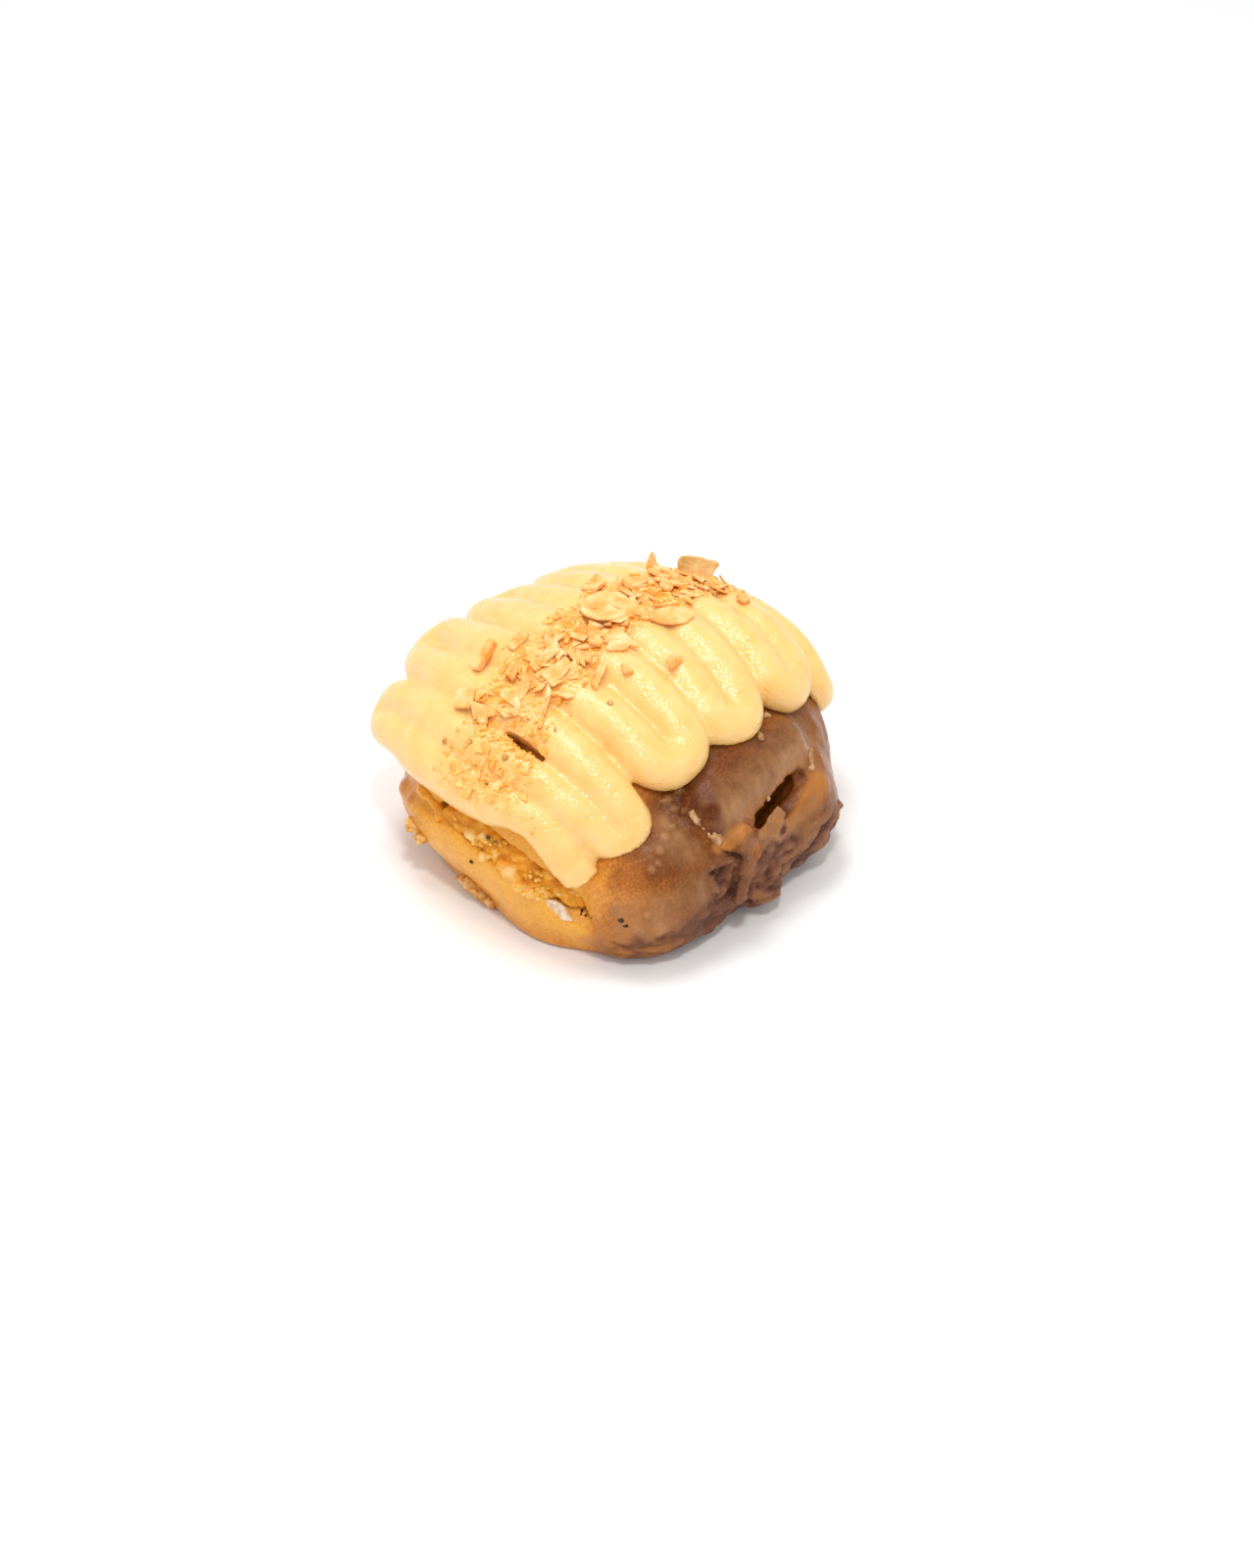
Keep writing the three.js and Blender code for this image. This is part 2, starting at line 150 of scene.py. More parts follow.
def smooth_max(a, b, blend):
    """Keeps what two distances have in common, with its edges eased by `blend`."""
    return -smooth_min(-a, -b, blend)


def super_norm(x, y, half_x, half_y, power):
    """1 on an oval with squarer corners than an ellipse, for a power above 2."""
    return (np.abs(x / half_x) ** power + np.abs(y / half_y) ** power) ** (1 / power)


def dome_shape(x, y, z):
    """1 on the dome that the ribbon is piped over."""
    rho = super_norm(x - DOME_X, y - DOME_Y, DOME_HALF_X, DOME_HALF_Y, PLAN_POWER)
    rise = np.maximum(z - DOME_WAIST, 0) / (DOME_TOP - DOME_WAIST)
    return (rho**DOME_POWER + rise**DOME_POWER) ** (1 / DOME_POWER)


def body_shape(x, y, z):
    """1 on the swell of the bun below the dome, flatter underneath than above."""
    rho = super_norm(x - BODY_X, y - BODY_Y, BODY_HALF_X, BODY_HALF_Y, PLAN_POWER)
    up = np.abs(z - BODY_WAIST) / BODY_UP
    down = np.abs(z - BODY_WAIST) / BODY_DOWN
    upper = (rho**BODY_UPPER_POWER + up**BODY_UPPER_POWER) ** (1 / BODY_UPPER_POWER)
    lower = (rho**BODY_LOWER_POWER + down**BODY_LOWER_POWER) ** (1 / BODY_LOWER_POWER)
    return np.where(z >= BODY_WAIST, upper, lower)


def distance_to(shape, x, y, z):
    """A near-true distance from a shape function that is 1 on the surface."""
    e = 0.25
    slopes = [
        shape(x + e, y, z) - shape(x - e, y, z),
        shape(x, y + e, z) - shape(x, y - e, z),
        shape(x, y, z + e) - shape(x, y, z - e),
    ]
    steepness = np.sqrt(sum(s * s for s in slopes)) / (2 * e)
    return (shape(x, y, z) - 1) / np.maximum(steepness, 2e-3)


def ellipsoid_distance(x, y, z, centre, half):
    """Distance to a rounded lump with its own half size along each axis."""
    scaled = [(v - c) / h for v, c, h in zip((x, y, z), centre, half)]
    return (np.sqrt(sum(s * s for s in scaled)) - 1) * min(half)


def rod_distance(x, y, z, start, end, r0, r1):
    """Distance to a round rod whose radius goes from r0 at its start to r1 at its end."""
    start = np.array(start)
    along = np.array(end) - start
    offset = [x - start[0], y - start[1], z - start[2]]
    u = sum(o * a for o, a in zip(offset, along)) / (along @ along)
    u = np.clip(u, 0, 1)
    gaps = [o - u * a for o, a in zip(offset, along)]
    return np.sqrt(sum(g * g for g in gaps)) - (r0 + (r1 - r0) * u)


def sheet_distance(x, y, z, a, b, c, thickness):
    """Distance to a flat three-cornered sheet of dough."""
    p = np.stack([x, y, z], -1)
    a, b, c = (np.array(v, float) for v in (a, b, c))
    face = np.cross(b - a, c - a)
    face /= np.linalg.norm(face)
    plane = np.abs((p - a) @ face)
    inside = np.ones(x.shape, bool)
    nearest = np.full(x.shape, 1e9)
    for start, end in ((a, b), (b, c), (c, a)):
        inside &= (p - start) @ np.cross(face, end - start) >= 0
        u = np.clip(((p - start) @ (end - start)) / ((end - start) @ (end - start)), 0, 1)
        gap = p - start - u[..., None] * (end - start)
        nearest = np.minimum(nearest, np.sqrt((gap * gap).sum(-1)))
    return np.where(inside, plane, nearest) - thickness / 2


def filling_line(y):
    """The height of the middle of the layer of filling, which arches across the bun."""
    return FILLING_CREST_Z - FILLING_FALL * (y - FILLING_CREST_Y) ** 2


def filling_distance(_, y, z):
    """Distance to the layer of filling, which has the same section all along X."""
    across = (y - FILLING_MID_Y) / FILLING_HALF_Y
    height = (z - filling_line(y)) / FILLING_HALF_Z
    return (np.sqrt(across**2 + height**2) - 1) * FILLING_HALF_Z


def plain_dough(x, y, z):
    """Distance to the bun before its crease and pocket are cut."""
    d = smooth_min(
        distance_to(dome_shape, x, y, z) + SINK, distance_to(body_shape, x, y, z), BODY_BLEND
    )
    for centre, half, blend in SWELLS:
        d = smooth_min(d, ellipsoid_distance(x, y, z, centre, half), blend)
    for start, end, r0, r1, blend in ROLLS:
        d = smooth_min(d, rod_distance(x, y, z, start, end, r0, r1), blend)
    above = step(z - filling_line(y) + FILLING_HALF_Z, -0.8, 1.2)
    shelf = above * step(-x, 30, 38) * step(y, -33, -25)
    tuck = step(TUCK_HEIGHT - z, 0, TUCK_HEIGHT) * step(-x, 8, 42) * step(y, -22, 12)
    return d + SHELF_DEPTH * shelf + TUCK_DEPTH * tuck


def work_near(field, low, high, distance, blend, cut=False):
    """Joins a small shape to the field, or cuts it away, within the box low to high."""
    first = np.clip(np.floor((np.array(low) - GRID_LOW) / GRID_STEP).astype(int), 0, GRID_COUNTS)
    last = np.clip(np.ceil((np.array(high) - GRID_LOW) / GRID_STEP).astype(int), 0, GRID_COUNTS)
    part = tuple(slice(a, b) for a, b in zip(first, last))
    shape = distance(*[g[part] for g in GRID])
    if cut:
        field[part] = smooth_max(field[part], -shape, blend)
    else:
        field[part] = smooth_min(field[part], shape, blend)


def work_rod(field, rod, cut=False):
    """Joins a rod of dough to the field, or cuts it away."""
    start, end, r0, r1, blend = rod
    reach = max(r0, r1) + blend + 2
    low = np.minimum(start, end) - reach
    high = np.maximum(start, end) + reach
    work_near(field, low, high, lambda *p: rod_distance(*p, start, end, r0, r1), blend, cut)


def work_sheets(field, corners, sheets, thickness, blend):
    """Joins three-cornered sheets to the field, each given by the names of its corners."""
    for names in sheets:
        points = [corners[n] for n in names]
        low = np.min(points, 0) - 3
        high = np.max(points, 0) + 3
        work_near(field, low, high, lambda *p: sheet_distance(*p, *points, thickness), blend)


def skin_of(field, low=GRID_LOW, spacing=GRID_STEP):
    """Points and outward four-sided faces of the surface where the field is zero."""
    limit = 3 * spacing
    grid = openvdb.FloatGrid(background=limit)
    grid.copyFromArray(np.clip(field, -limit, limit).astype(np.float32))
    points, quads = grid.convertToQuads(0.0)
    return points.astype(float) * spacing + low, quads.astype(int)


def normals_of(points, quads):
    """The outward direction at each point of a surface of four-sided faces."""
    a, b, c, d = (points[quads[:, k]] for k in range(4))
    across = np.cross(c - a, d - b)
    total = np.zeros_like(points)
    for k in range(4):
        for axis in range(3):
            total[:, axis] += np.bincount(quads[:, k], across[:, axis], len(points))
    return total / np.maximum(np.linalg.norm(total, axis=1, keepdims=True), 1e-12)


def relax(points, quads, share, rounds):
    """Moves each point towards the middle of its neighbours by its own share, several times."""
    a = quads.ravel()
    b = np.roll(quads, -1, 1).ravel()
    ends = np.concatenate([a, b])
    starts = np.concatenate([b, a])
    count = np.bincount(ends, minlength=len(points))[:, None]
    for _ in range(rounds):
        middle = [np.bincount(ends, points[starts, k], len(points)) for k in range(3)]
        points = points + (np.stack(middle, -1) / count - points) * share[:, None]
    return points


def soft_noise(points, size, seed):
    """Smooth noise from -1 to 1 with bumps about `size` across."""
    table = np.random.default_rng(seed).uniform(-1, 1, (32, 32, 32))
    place = points / size
    cell = np.floor(place).astype(int)
    f = place - cell
    f = f * f * (3 - 2 * f)
    total = np.zeros(len(points))
    for corner in np.ndindex(2, 2, 2):
        weight = np.prod(np.where(corner, f, 1 - f), -1)
        i = (cell + corner) % 32
        total += weight * table[i[:, 0], i[:, 1], i[:, 2]]
    return total


def new_piece(name, points, faces, material, slot, replaced=(), values=None, smooth=True):
    """A finished mesh piece at the origin that rides on the bun, with its named values."""
    mesh = bpy.data.meshes.new(name)
    mesh.from_pydata((np.asarray(points) * MM).tolist(), [], [list(f) for f in faces])
    mesh.update()
    if smooth:
        mesh.shade_smooth()
    for key, numbers in (values or {}).items():
        attribute = mesh.attributes.new(key, "FLOAT", "POINT")
        attribute.data.foreach_set("value", np.asarray(numbers, np.float32))
    mesh.materials.append(material)
    piece = bpy.data.objects.new(name, mesh)
    bpy.context.scene.collection.objects.link(piece)
    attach(piece, "root")
    if replaced:
        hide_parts(*replaced)
    return piece


def linear(code):
    """An sRGB hex colour as linear red, green, blue and 1."""
    parts = [int(code[k : k + 2], 16) / 255 for k in (1, 3, 5)]
    return (*[p / 12.92 if p <= 0.04045 else ((p + 0.055) / 1.055) ** 2.4 for p in parts], 1)


def add_node(tree, kind, inputs=None, **settings):
    """Adds a node, sets its settings, and links or sets its inputs by name or number."""
    node = tree.nodes.new(kind)
    for key, value in settings.items():
        setattr(node, key, value)
    for key, value in (inputs or {}).items():
        if isinstance(value, bpy.types.NodeSocket):
            tree.links.new(value, node.inputs[key])
        else:
            node.inputs[key].default_value = value
    return node


def set_ramp(node, stops):
    """Gives a colour ramp its stops, each a place from 0 to 1 and a hex colour."""
    ramp = node.color_ramp
    while len(ramp.elements) > 1:
        ramp.elements.remove(ramp.elements[-1])
    for k, (place, colour) in enumerate(stops):
        element = ramp.elements[0] if k == 0 else ramp.elements.new(place)
        element.position = place
        element.color = linear(colour)
    return node.outputs["Color"]


def repeats(size):
    """How often a pattern that measures `size` millimetres fits in a metre."""
    return 1 / (size * MM)


def new_material(name):
    """A new material with its node tree and its shader."""
    material = bpy.data.materials.new(name)
    material.use_nodes = True
    tree = material.node_tree
    return material, tree, tree.nodes["Principled BSDF"]


def glazed_dough_material():
    """Egg-glazed enriched dough: golden where pale, deep brown where baked longest, and darker
    still with painted shade in its creases, pocket and pit, under the cream and partly on the
    fold side. Purplish and dull where torn, with painted shade in the hollows of the torn crust,
    and pale streaks that are dust on the folds and painted sheen on the inner roll. The glaze
    gives a broad satin shine."""
    material, tree, shader = new_material("egg_glazed_baked_dough")
    where = add_node(tree, "ShaderNodeTexCoord").outputs["Object"]
    browning_and_shade = add_node(tree, "ShaderNodeAttribute", attribute_name="browning_and_shade").outputs["Fac"]
    crust = add_node(tree, "ShaderNodeAttribute", attribute_name="crust").outputs["Fac"]
    pale = add_node(tree, "ShaderNodeAttribute", attribute_name="pale").outputs["Fac"]
    orange = add_node(tree, "ShaderNodeAttribute", attribute_name="orange").outputs["Fac"]
    height = add_node(tree, "ShaderNodeAttribute", attribute_name="height").outputs["Fac"]
    dust_and_sheen = add_node(tree, "ShaderNodeAttribute", attribute_name="dust_and_sheen").outputs["Fac"]
    drawn_out = add_node(
        tree, "ShaderNodeVectorMath", {0: where, 1: (1.0, 1.0, 0.34)}, operation="MULTIPLY"
    )
    streaks = add_node(
        tree, "ShaderNodeTexNoise", {"Vector": drawn_out.outputs[0], "Scale": repeats(3.03), "Detail": 5}
    )
    clouds = add_node(tree, "ShaderNodeTexNoise", {"Vector": where, "Scale": repeats(5.88), "Detail": 5})
    grain = add_node(tree, "ShaderNodeTexNoise", {"Vector": where, "Scale": repeats(0.667), "Detail": 3})
    cloudy = add_node(
        tree, "ShaderNodeMath", {0: clouds.outputs["Fac"], 1: 0.34, 2: -0.17}, operation="MULTIPLY_ADD"
    )
    grainy = add_node(
        tree, "ShaderNodeMath", {0: grain.outputs["Fac"], 1: 0.55, 2: -0.275}, operation="MULTIPLY_ADD"
    )
    both = add_node(tree, "ShaderNodeMath", {0: cloudy.outputs[0], 1: grainy.outputs[0]})
    # Browning from the oven and painted shade, both read from one attribute.
    baked = add_node(tree, "ShaderNodeMath", {0: browning_and_shade, 1: both.outputs[0]}, use_clamp=True)
    ramp = add_node(tree, "ShaderNodeValToRGB", {"Fac": baked.outputs[0]})
    glaze = set_ramp(ramp, [
        (0.0, "#F0AE44"), (0.25, "#DA9038"), (0.5, "#AE6628"), (0.75, "#82481A"), (1.0, "#5A2808"),
    ])
    # Painted shade and light on the torn crust: darkest in the hollows between its lumps, palest on their
    # tops.
    wander = add_node(
        tree, "ShaderNodeMath", {0: clouds.outputs["Fac"], 1: 0.8, 2: -0.4}, operation="MULTIPLY_ADD"
    )
    torn_shade_place = add_node(tree, "ShaderNodeMath", {0: height, 1: wander.outputs[0]}, use_clamp=True)
    crust_ramp = add_node(tree, "ShaderNodeValToRGB", {"Fac": torn_shade_place.outputs[0]})
    torn = set_ramp(crust_ramp, [
        (0.0, "#3C1A08"), (0.3, "#5E341E"), (0.6, "#784A34"), (0.85, "#8A5A3E"), (1.0, "#96643E"),
    ])
    # Pale dull streaks: dust on the folds and painted sheen on the inner roll.
    dust_and_sheen_amount = add_node(
        tree, "ShaderNodeMath", {0: streaks.outputs["Fac"], 1: 1.2, 2: 0.0},
        operation="MULTIPLY_ADD", use_clamp=True,
    )
    dust = add_node(
        tree, "ShaderNodeMath", {0: dust_and_sheen_amount.outputs[0], 1: dust_and_sheen}, operation="MULTIPLY"
    )
    colour = add_node(
        tree, "ShaderNodeMix", {0: dust.outputs[0], 6: glaze, 7: linear("#C08C5C")}, data_type="RGBA"
    ).outputs[2]
    colour = add_node(
        tree, "ShaderNodeMix", {0: crust, 6: colour, 7: torn}, data_type="RGBA"
    ).outputs[2]
    colour = add_node(
        tree, "ShaderNodeMix", {0: orange, 6: colour, 7: linear("#B87430")}, data_type="RGBA"
    ).outputs[2]
    colour = add_node(
        tree, "ShaderNodeMix", {0: pale, 6: colour, 7: linear("#C4905E")}, data_type="RGBA"
    ).outputs[2]
    tree.links.new(colour, shader.inputs["Base Color"])
    dullness = add_node(
        tree, "ShaderNodeMath", {0: crust, 1: 0.24, 2: 0.14}, operation="MULTIPLY_ADD"
    )
    rough = add_node(
        tree, "ShaderNodeMath", {0: clouds.outputs["Fac"], 1: 0.2, 2: dullness.outputs[0]},
        operation="MULTIPLY_ADD",
    )
    tree.links.new(rough.outputs[0], shader.inputs["Roughness"])
    torn_grain = add_node(
        tree, "ShaderNodeMath", {0: crust, 1: 0.5, 2: 0.3}, operation="MULTIPLY_ADD"
    )
    fine = add_node(
        tree, "ShaderNodeBump",
        {"Height": grain.outputs["Fac"], "Strength": torn_grain.outputs[0], "Distance": 0.6 * MM},
    )
    torn_folds = add_node(
        tree, "ShaderNodeMath", {0: crust, 1: 0.7, 2: 0.12}, operation="MULTIPLY_ADD"
    )
    folds = add_node(
        tree, "ShaderNodeBump",
        {"Height": streaks.outputs["Fac"], "Strength": torn_folds.outputs[0], "Distance": 1.6 * MM,
         "Normal": fine.outputs["Normal"]},
    )
    coarse = add_node(
        tree, "ShaderNodeBump",
        {"Height": clouds.outputs["Fac"], "Strength": 0.5, "Distance": 1.2 * MM,
         "Normal": folds.outputs["Normal"]},
    )
    tree.links.new(coarse.outputs["Normal"], shader.inputs["Normal"])
    shader.inputs["IOR"].default_value = 1.46
    shader.inputs["Specular IOR Level"].default_value = 0.2
    return material


dough_field = plain_dough(*GRID)
smooth_field = dough_field.copy()
for crease in CREASE + POCKET:
    work_rod(dough_field, crease, cut=True)
work_sheets(dough_field, LIP_CORNERS, LIP_SHEETS, LIP_THICKNESS, 1.3)
work_sheets(dough_field, SHRED_CORNERS, SHRED_SHEETS, SHRED_THICKNESS, 0.5)
dough_field = smooth_max(dough_field, 0.3 - filling_distance(*GRID), 0.4)
dough_field = smooth_max(dough_field, -GRID[2], 1.0)

dough_points, dough_faces = skin_of(dough_field)
dough_normals = normals_of(dough_points, dough_faces)
px, py, pz = dough_points.T
outside = step(-filling_distance(px, py, pz), -1.2, -0.5)
outside = 1 - outside
off_floor = step(pz, 0.2, 2.0)

# Where the dough is torn and rough: low on the folded side, around the crease and on the foot.
TORN_TOP_RIGHT = 18.5
TORN_TOP_LEFT, TORN_LEFT_FROM, TORN_LEFT_SLOPE = 11.5, -35.0, 0.3
TORN_TOP_AT_CREASE, TORN_BY_CREASE = 25.0, 9.5
SHRED_MARGIN = 0.7
near_crease = np.min([rod_distance(px, py, pz, *rod[:4]) for rod in CREASE[:2]], 0)
near_pocket = np.min([rod_distance(px, py, pz, *rod[:4]) for rod in POCKET], 0)
near_pit = rod_distance(px, py, pz, *CREASE[2][:4])
on_shred = np.min([
    sheet_distance(px, py, pz, *[SHRED_CORNERS[n] for n in names], SHRED_THICKNESS)
    for names in SHRED_SHEETS
], 0)
on_shred = step(SHRED_MARGIN - on_shred, 0, 0.5)
folded_side = step(-py, 24, 36)
wander = 3.0 * soft_noise(dough_points, 8, 11) + 1.4 * soft_noise(dough_points, 3, 12)
low_right = step(TORN_TOP_RIGHT - pz + wander, -2, 2) * step(px, -12, -6) * (1 - step(px, 24, 32))
torn_top_left = TORN_TOP_LEFT + TORN_LEFT_SLOPE * (px - TORN_LEFT_FROM)
low_left = step(torn_top_left - pz + wander, -2, 2) * step(px, -46, -38)
low_left = low_left * (1 - step(px, -14, -8))
by_crease = step(TORN_BY_CREASE + 0.5 * wander - near_crease, 0, 4) * step(-px, 8, 14)
by_crease = by_crease * step(TORN_TOP_AT_CREASE - pz + wander, -2, 3)
crust = np.clip(folded_side * np.maximum(np.maximum(low_right, low_left), by_crease), 0, 1)
crust = crust * step(near_pocket, 0.8, 2.2)

# Torn dough is a heap of rounded lumps, longer along the bun than they are high, with sharp
# creases between them. The glazed dough only swells gently, and more so on the plain sides.
LUMP_RELIEF, LESSER_LUMP_RELIEF, WRINKLE_RELIEF, TORN_SINK = 2.6, 1.5, 0.5, 1.05
LONG_TEAR_RELIEF, LONG_TEAR_SINK = 0.9, 0.2
PLAIN_SIDE_GAIN = 1.3
BLISTER_RELIEF = 0.62
stretched = dough_points * np.array([0.6, 1, 1.15])
lumps = np.abs(soft_noise(stretched, 3.4, 3))
lesser_lumps = np.abs(soft_noise(stretched, 1.7, 4))
wrinkles = 1.8 * np.abs(soft_noise(dough_points, 1.5, 5)) - 0.4
torn = LUMP_RELIEF * lumps + LESSER_LUMP_RELIEF * lesser_lumps + WRINKLE_RELIEF * wrinkles
torn = torn - TORN_SINK
heaped = 0.45 + 0.9 * np.clip(by_crease * (1 - step(px, -13, -9)), 0, 1) + 0.5 * low_left
long_tears = soft_noise(dough_points * np.array([0.34, 1, 1.6]), 2.6, 7)
long_tears = LONG_TEAR_RELIEF * np.abs(long_tears) - LONG_TEAR_SINK
torn = torn + (long_tears - 0.75 * torn) * low_left
gentle = 0.34 * soft_noise(dough_points, 11, 1) + 0.16 * soft_noise(dough_points, 4, 2)
gentle += 0.07 * soft_noise(dough_points, 1.8, 6)
gentle *= 1 + PLAIN_SIDE_GAIN * np.maximum(step(py, 10, 28), step(px, 10, 34))
relief = gentle + crust * heaped * torn
blister = np.zeros(len(dough_points))
for centre, radius in BLISTERS:
    gap = np.linalg.norm(dough_points - np.array(centre), axis=1) / radius
    blister = np.maximum(blister, np.clip(1 - gap**2, 0, 1) * (1 - 0.4 * crust))
relief += BLISTER_RELIEF * np.sqrt(blister)
dough_points = dough_points + dough_normals * (relief * outside * off_floor)[:, None]
dough_points[:, 2] = np.maximum(dough_points[:, 2], 0)

# How dark each part is, from 0, golden, to 1, nearly black: what every part has, and what
# each place adds. Most of it is how long the dough baked. The crease, pocket, pit and the band
# under the cream are painted shade, and the fold side is partly browner crust, partly painted shade.
BAKED = 0.05
BROWNED_AND_SHADED = {
    "fold side": 0.48, "far end": 0.14, "folds": 0.18, "fold edge": 0.05, "foot": 0.2,
    "crease": 0.18, "pocket": 0.16, "pit": 0.55, "under cream": 0.14, "blotches": 0.13,
    "back": 0.12, "back patches": 0.16, "left fold": 0.13, "beside crease": 0.1,
}
far_half = step(px, 0, 30)
to_fold_side = step(-py + 0.6 * px, 2 - 24 * far_half, 24 + 12 * far_half)
to_far_end = step(px, 20, 44) * (1 - folded_side)
# The fold side is darker: partly a browner crust, partly painted shade of the side the light misses.
browning_and_shade = BAKED + BROWNED_AND_SHADED["fold side"] * to_fold_side + BROWNED_AND_SHADED["far end"] * to_far_end
browning_and_shade += (BROWNED_AND_SHADED["folds"] + BROWNED_AND_SHADED["fold edge"] * step(px, -30, -18)) * folded_side
browning_and_shade += BROWNED_AND_SHADED["foot"] * step(9 - pz, 0, 8) * (1 - folded_side)
# Painted shade: darker in the crease, the pocket and the pit, and on the fold side just under the cream.
browning_and_shade += BROWNED_AND_SHADED["crease"] * step(1.8 - near_crease, 0, 1.5)
browning_and_shade += BROWNED_AND_SHADED["pocket"] * step(1.0 - near_pocket, 0, 1.4) * (1 - on_shred)
browning_and_shade += BROWNED_AND_SHADED["pit"] * step(1.2 - near_pit, 0, 1.2)
browning_and_shade += BROWNED_AND_SHADED["under cream"] * step(pz, 28, 37) * to_fold_side
blotches = soft_noise(dough_points, 6, 13) + 0.7 * soft_noise(dough_points, 2.6, 14)
at_back = step(py, 10, 30)
blotchy = np.maximum(folded_side, 0.7 * np.maximum(at_back, far_half))
browning_and_shade += BROWNED_AND_SHADED["blotches"] * blotches * blotchy
patches = step(soft_noise(dough_points, 16, 17), -0.2, 0.6)
browning_and_shade += at_back * (BROWNED_AND_SHADED["back"] + BROWNED_AND_SHADED["back patches"] * patches)

# Where the folds are dull and pale, with pale streaks on the inner roll that are painted sheen,
# and where the thin edges of the dough are orange.
roll_face = step(8.5 - rod_distance(px, py, pz, *ROLLS[0][:2], 0, 0), 0, 2.2) * step(px, -15, -12)
dust_and_sheen = 0.68 * roll_face + 0.3 * folded_side * step(px, -34, -24)
dust_and_sheen = np.clip(dust_and_sheen + 0.5 * blotches * folded_side, 0, 0.85)
fold_middle = step(px, -43, -38) * (1 - step(px, -33, -26)) * step(pz, 8, 12) * (1 - step(pz, 20, 24))
dust_and_sheen += 0.6 * fold_middle
by_the_fold = BROWNED_AND_SHADED["left fold"] * (1 - fold_middle) + BROWNED_AND_SHADED["beside crease"] * step(px, -22, -14)
browning_and_shade += by_the_fold * folded_side * step(-px, 8, 14)
dust_and_sheen *= 1 - 0.8 * step(pz, 34, 40)
dust_and_sheen *= folded_side * (1 - step(1.3 - near_pocket, 0, 1))
rim = rod_distance(px, py, pz, (4.0, -46.0, 22.4), (18.0, -44.4, 25.4), 2.4, 2.4)
lip_edge = rod_distance(px, py, pz, LIP_CORNERS["left"], LIP_CORNERS["crest"], 1.6, 1.2)
low_edge = step(-px, 22, 32) * step(12 - pz + wander, -2, 2) * step(torn, -0.5, 0.6)
orange = 0.75 * step(2.4 - rim + 0.4 * wander, 0, 2.2) * (1 - 0.5 * crust)
orange = np.maximum(orange, 0.9 * step(1.0 - lip_edge, 0, 1.2))
orange = np.maximum(orange, 0.85 * low_edge * folded_side) * (1 - step(0.9 - near_pocket, 0, 1))
unevenness = 0.5 * soft_noise(dough_points, 1.7, 15) + 0.3 * soft_noise(dough_points, 5, 16)
orange *= np.clip(0.7 + unevenness, 0.1, 1)
pale = np.maximum(0.34 * step(blister, 0.1, 0.9), 0.4 * on_shred)
# How high each torn lump stands. The material turns it into painted shade in the low hollows and painted
# light on the tops.
height = np.clip(0.5 + 0.45 * torn, 0, 1)

new_piece(
    "dough", dough_points, dough_faces, glazed_dough_material(), "dough", ["bun"],
    {"browning_and_shade": browning_and_shade, "crust": crust, "orange": orange, "pale": pale, "height": height,
     "dust_and_sheen": dust_and_sheen},
)

# ---------------------------------------------------------------------------------------------
# The filling: a layer of crumbly baked custard and almond paste, rolled into the dough, which
# runs through it from end to end and breaks up into grains where it shows.

FILLING_PROUD = 0.5
GRAIN_COUNT = 520
BIG_GRAINS = [
    ((-47.4, -9.6, 18.8), (1.6, 2.2, 1.5)), ((-47.6, -8.0, 19.8), (1.3, 1.4, 1.2)),
    ((-47.8, -12.8, 16.8), (1.5, 2.0, 1.4)), ((-46.8, -14.8, 15.8), (1.3, 1.5, 1.2)),
    ((-46.8, 2.6, 22.6), (1.3, 2.0, 1.6)), ((-46.4, -1.4, 23.6), (1.2, 1.8, 1.3)),
    ((-45.2, -17.6, 14.6), (1.2, 1.7, 1.2)), ((-46.2, 6.4, 22.6), (1.2, 1.5, 1.1)),
]


def filling_material():
    """Baked almond paste: granular, a warm yellow that goes orange in its hollows, with a
    slightly buttery shine."""
    material, tree, shader = new_material("baked_almond_paste")
    where = add_node(tree, "ShaderNodeTexCoord").outputs["Object"]
    grain = add_node(tree, "ShaderNodeTexNoise", {"Vector": where, "Scale": repeats(1.11), "Detail": 4})
    patch = add_node(tree, "ShaderNodeTexNoise", {"Vector": where, "Scale": repeats(3.85), "Detail": 3})
    lump = add_node(tree, "ShaderNodeAttribute", attribute_name="lump").outputs["Fac"]
    burnt = add_node(tree, "ShaderNodeAttribute", attribute_name="burnt").outputs["Fac"]
    shift = add_node(
        tree, "ShaderNodeMath", {0: patch.outputs["Fac"], 1: 0.8, 2: -0.4}, operation="MULTIPLY_ADD"
    )
    place = add_node(tree, "ShaderNodeMath", {0: lump, 1: shift.outputs[0]}, use_clamp=True)
    ramp = add_node(tree, "ShaderNodeValToRGB", {"Fac": place.outputs[0]})
    colour = set_ramp(ramp, [
        (0.0, "#D07E14"), (0.3, "#E0921C"), (0.6, "#EAA02A"), (0.85, "#F0B452"), (1.0, "#F4CC88"),
    ])
    colour = add_node(
        tree, "ShaderNodeMix", {0: burnt, 6: colour, 7: linear("#3A2413")}, data_type="RGBA"
    ).outputs[2]
    tree.links.new(colour, shader.inputs["Base Color"])
    bump = add_node(
        tree, "ShaderNodeBump", {"Height": grain.outputs["Fac"], "Strength": 0.6, "Distance": 0.5 * MM}
    )
    tree.links.new(bump.outputs["Normal"], shader.inputs["Normal"])
    shader.inputs["Roughness"].default_value = 0.38
    shader.inputs["Specular IOR Level"].default_value = 0.2
    shader.inputs["Subsurface Weight"].default_value = 0.25
    shader.inputs["Subsurface Radius"].default_value = (1.0, 0.5, 0.12)
    shader.inputs["Subsurface Scale"].default_value = 1.5 * MM
    return material


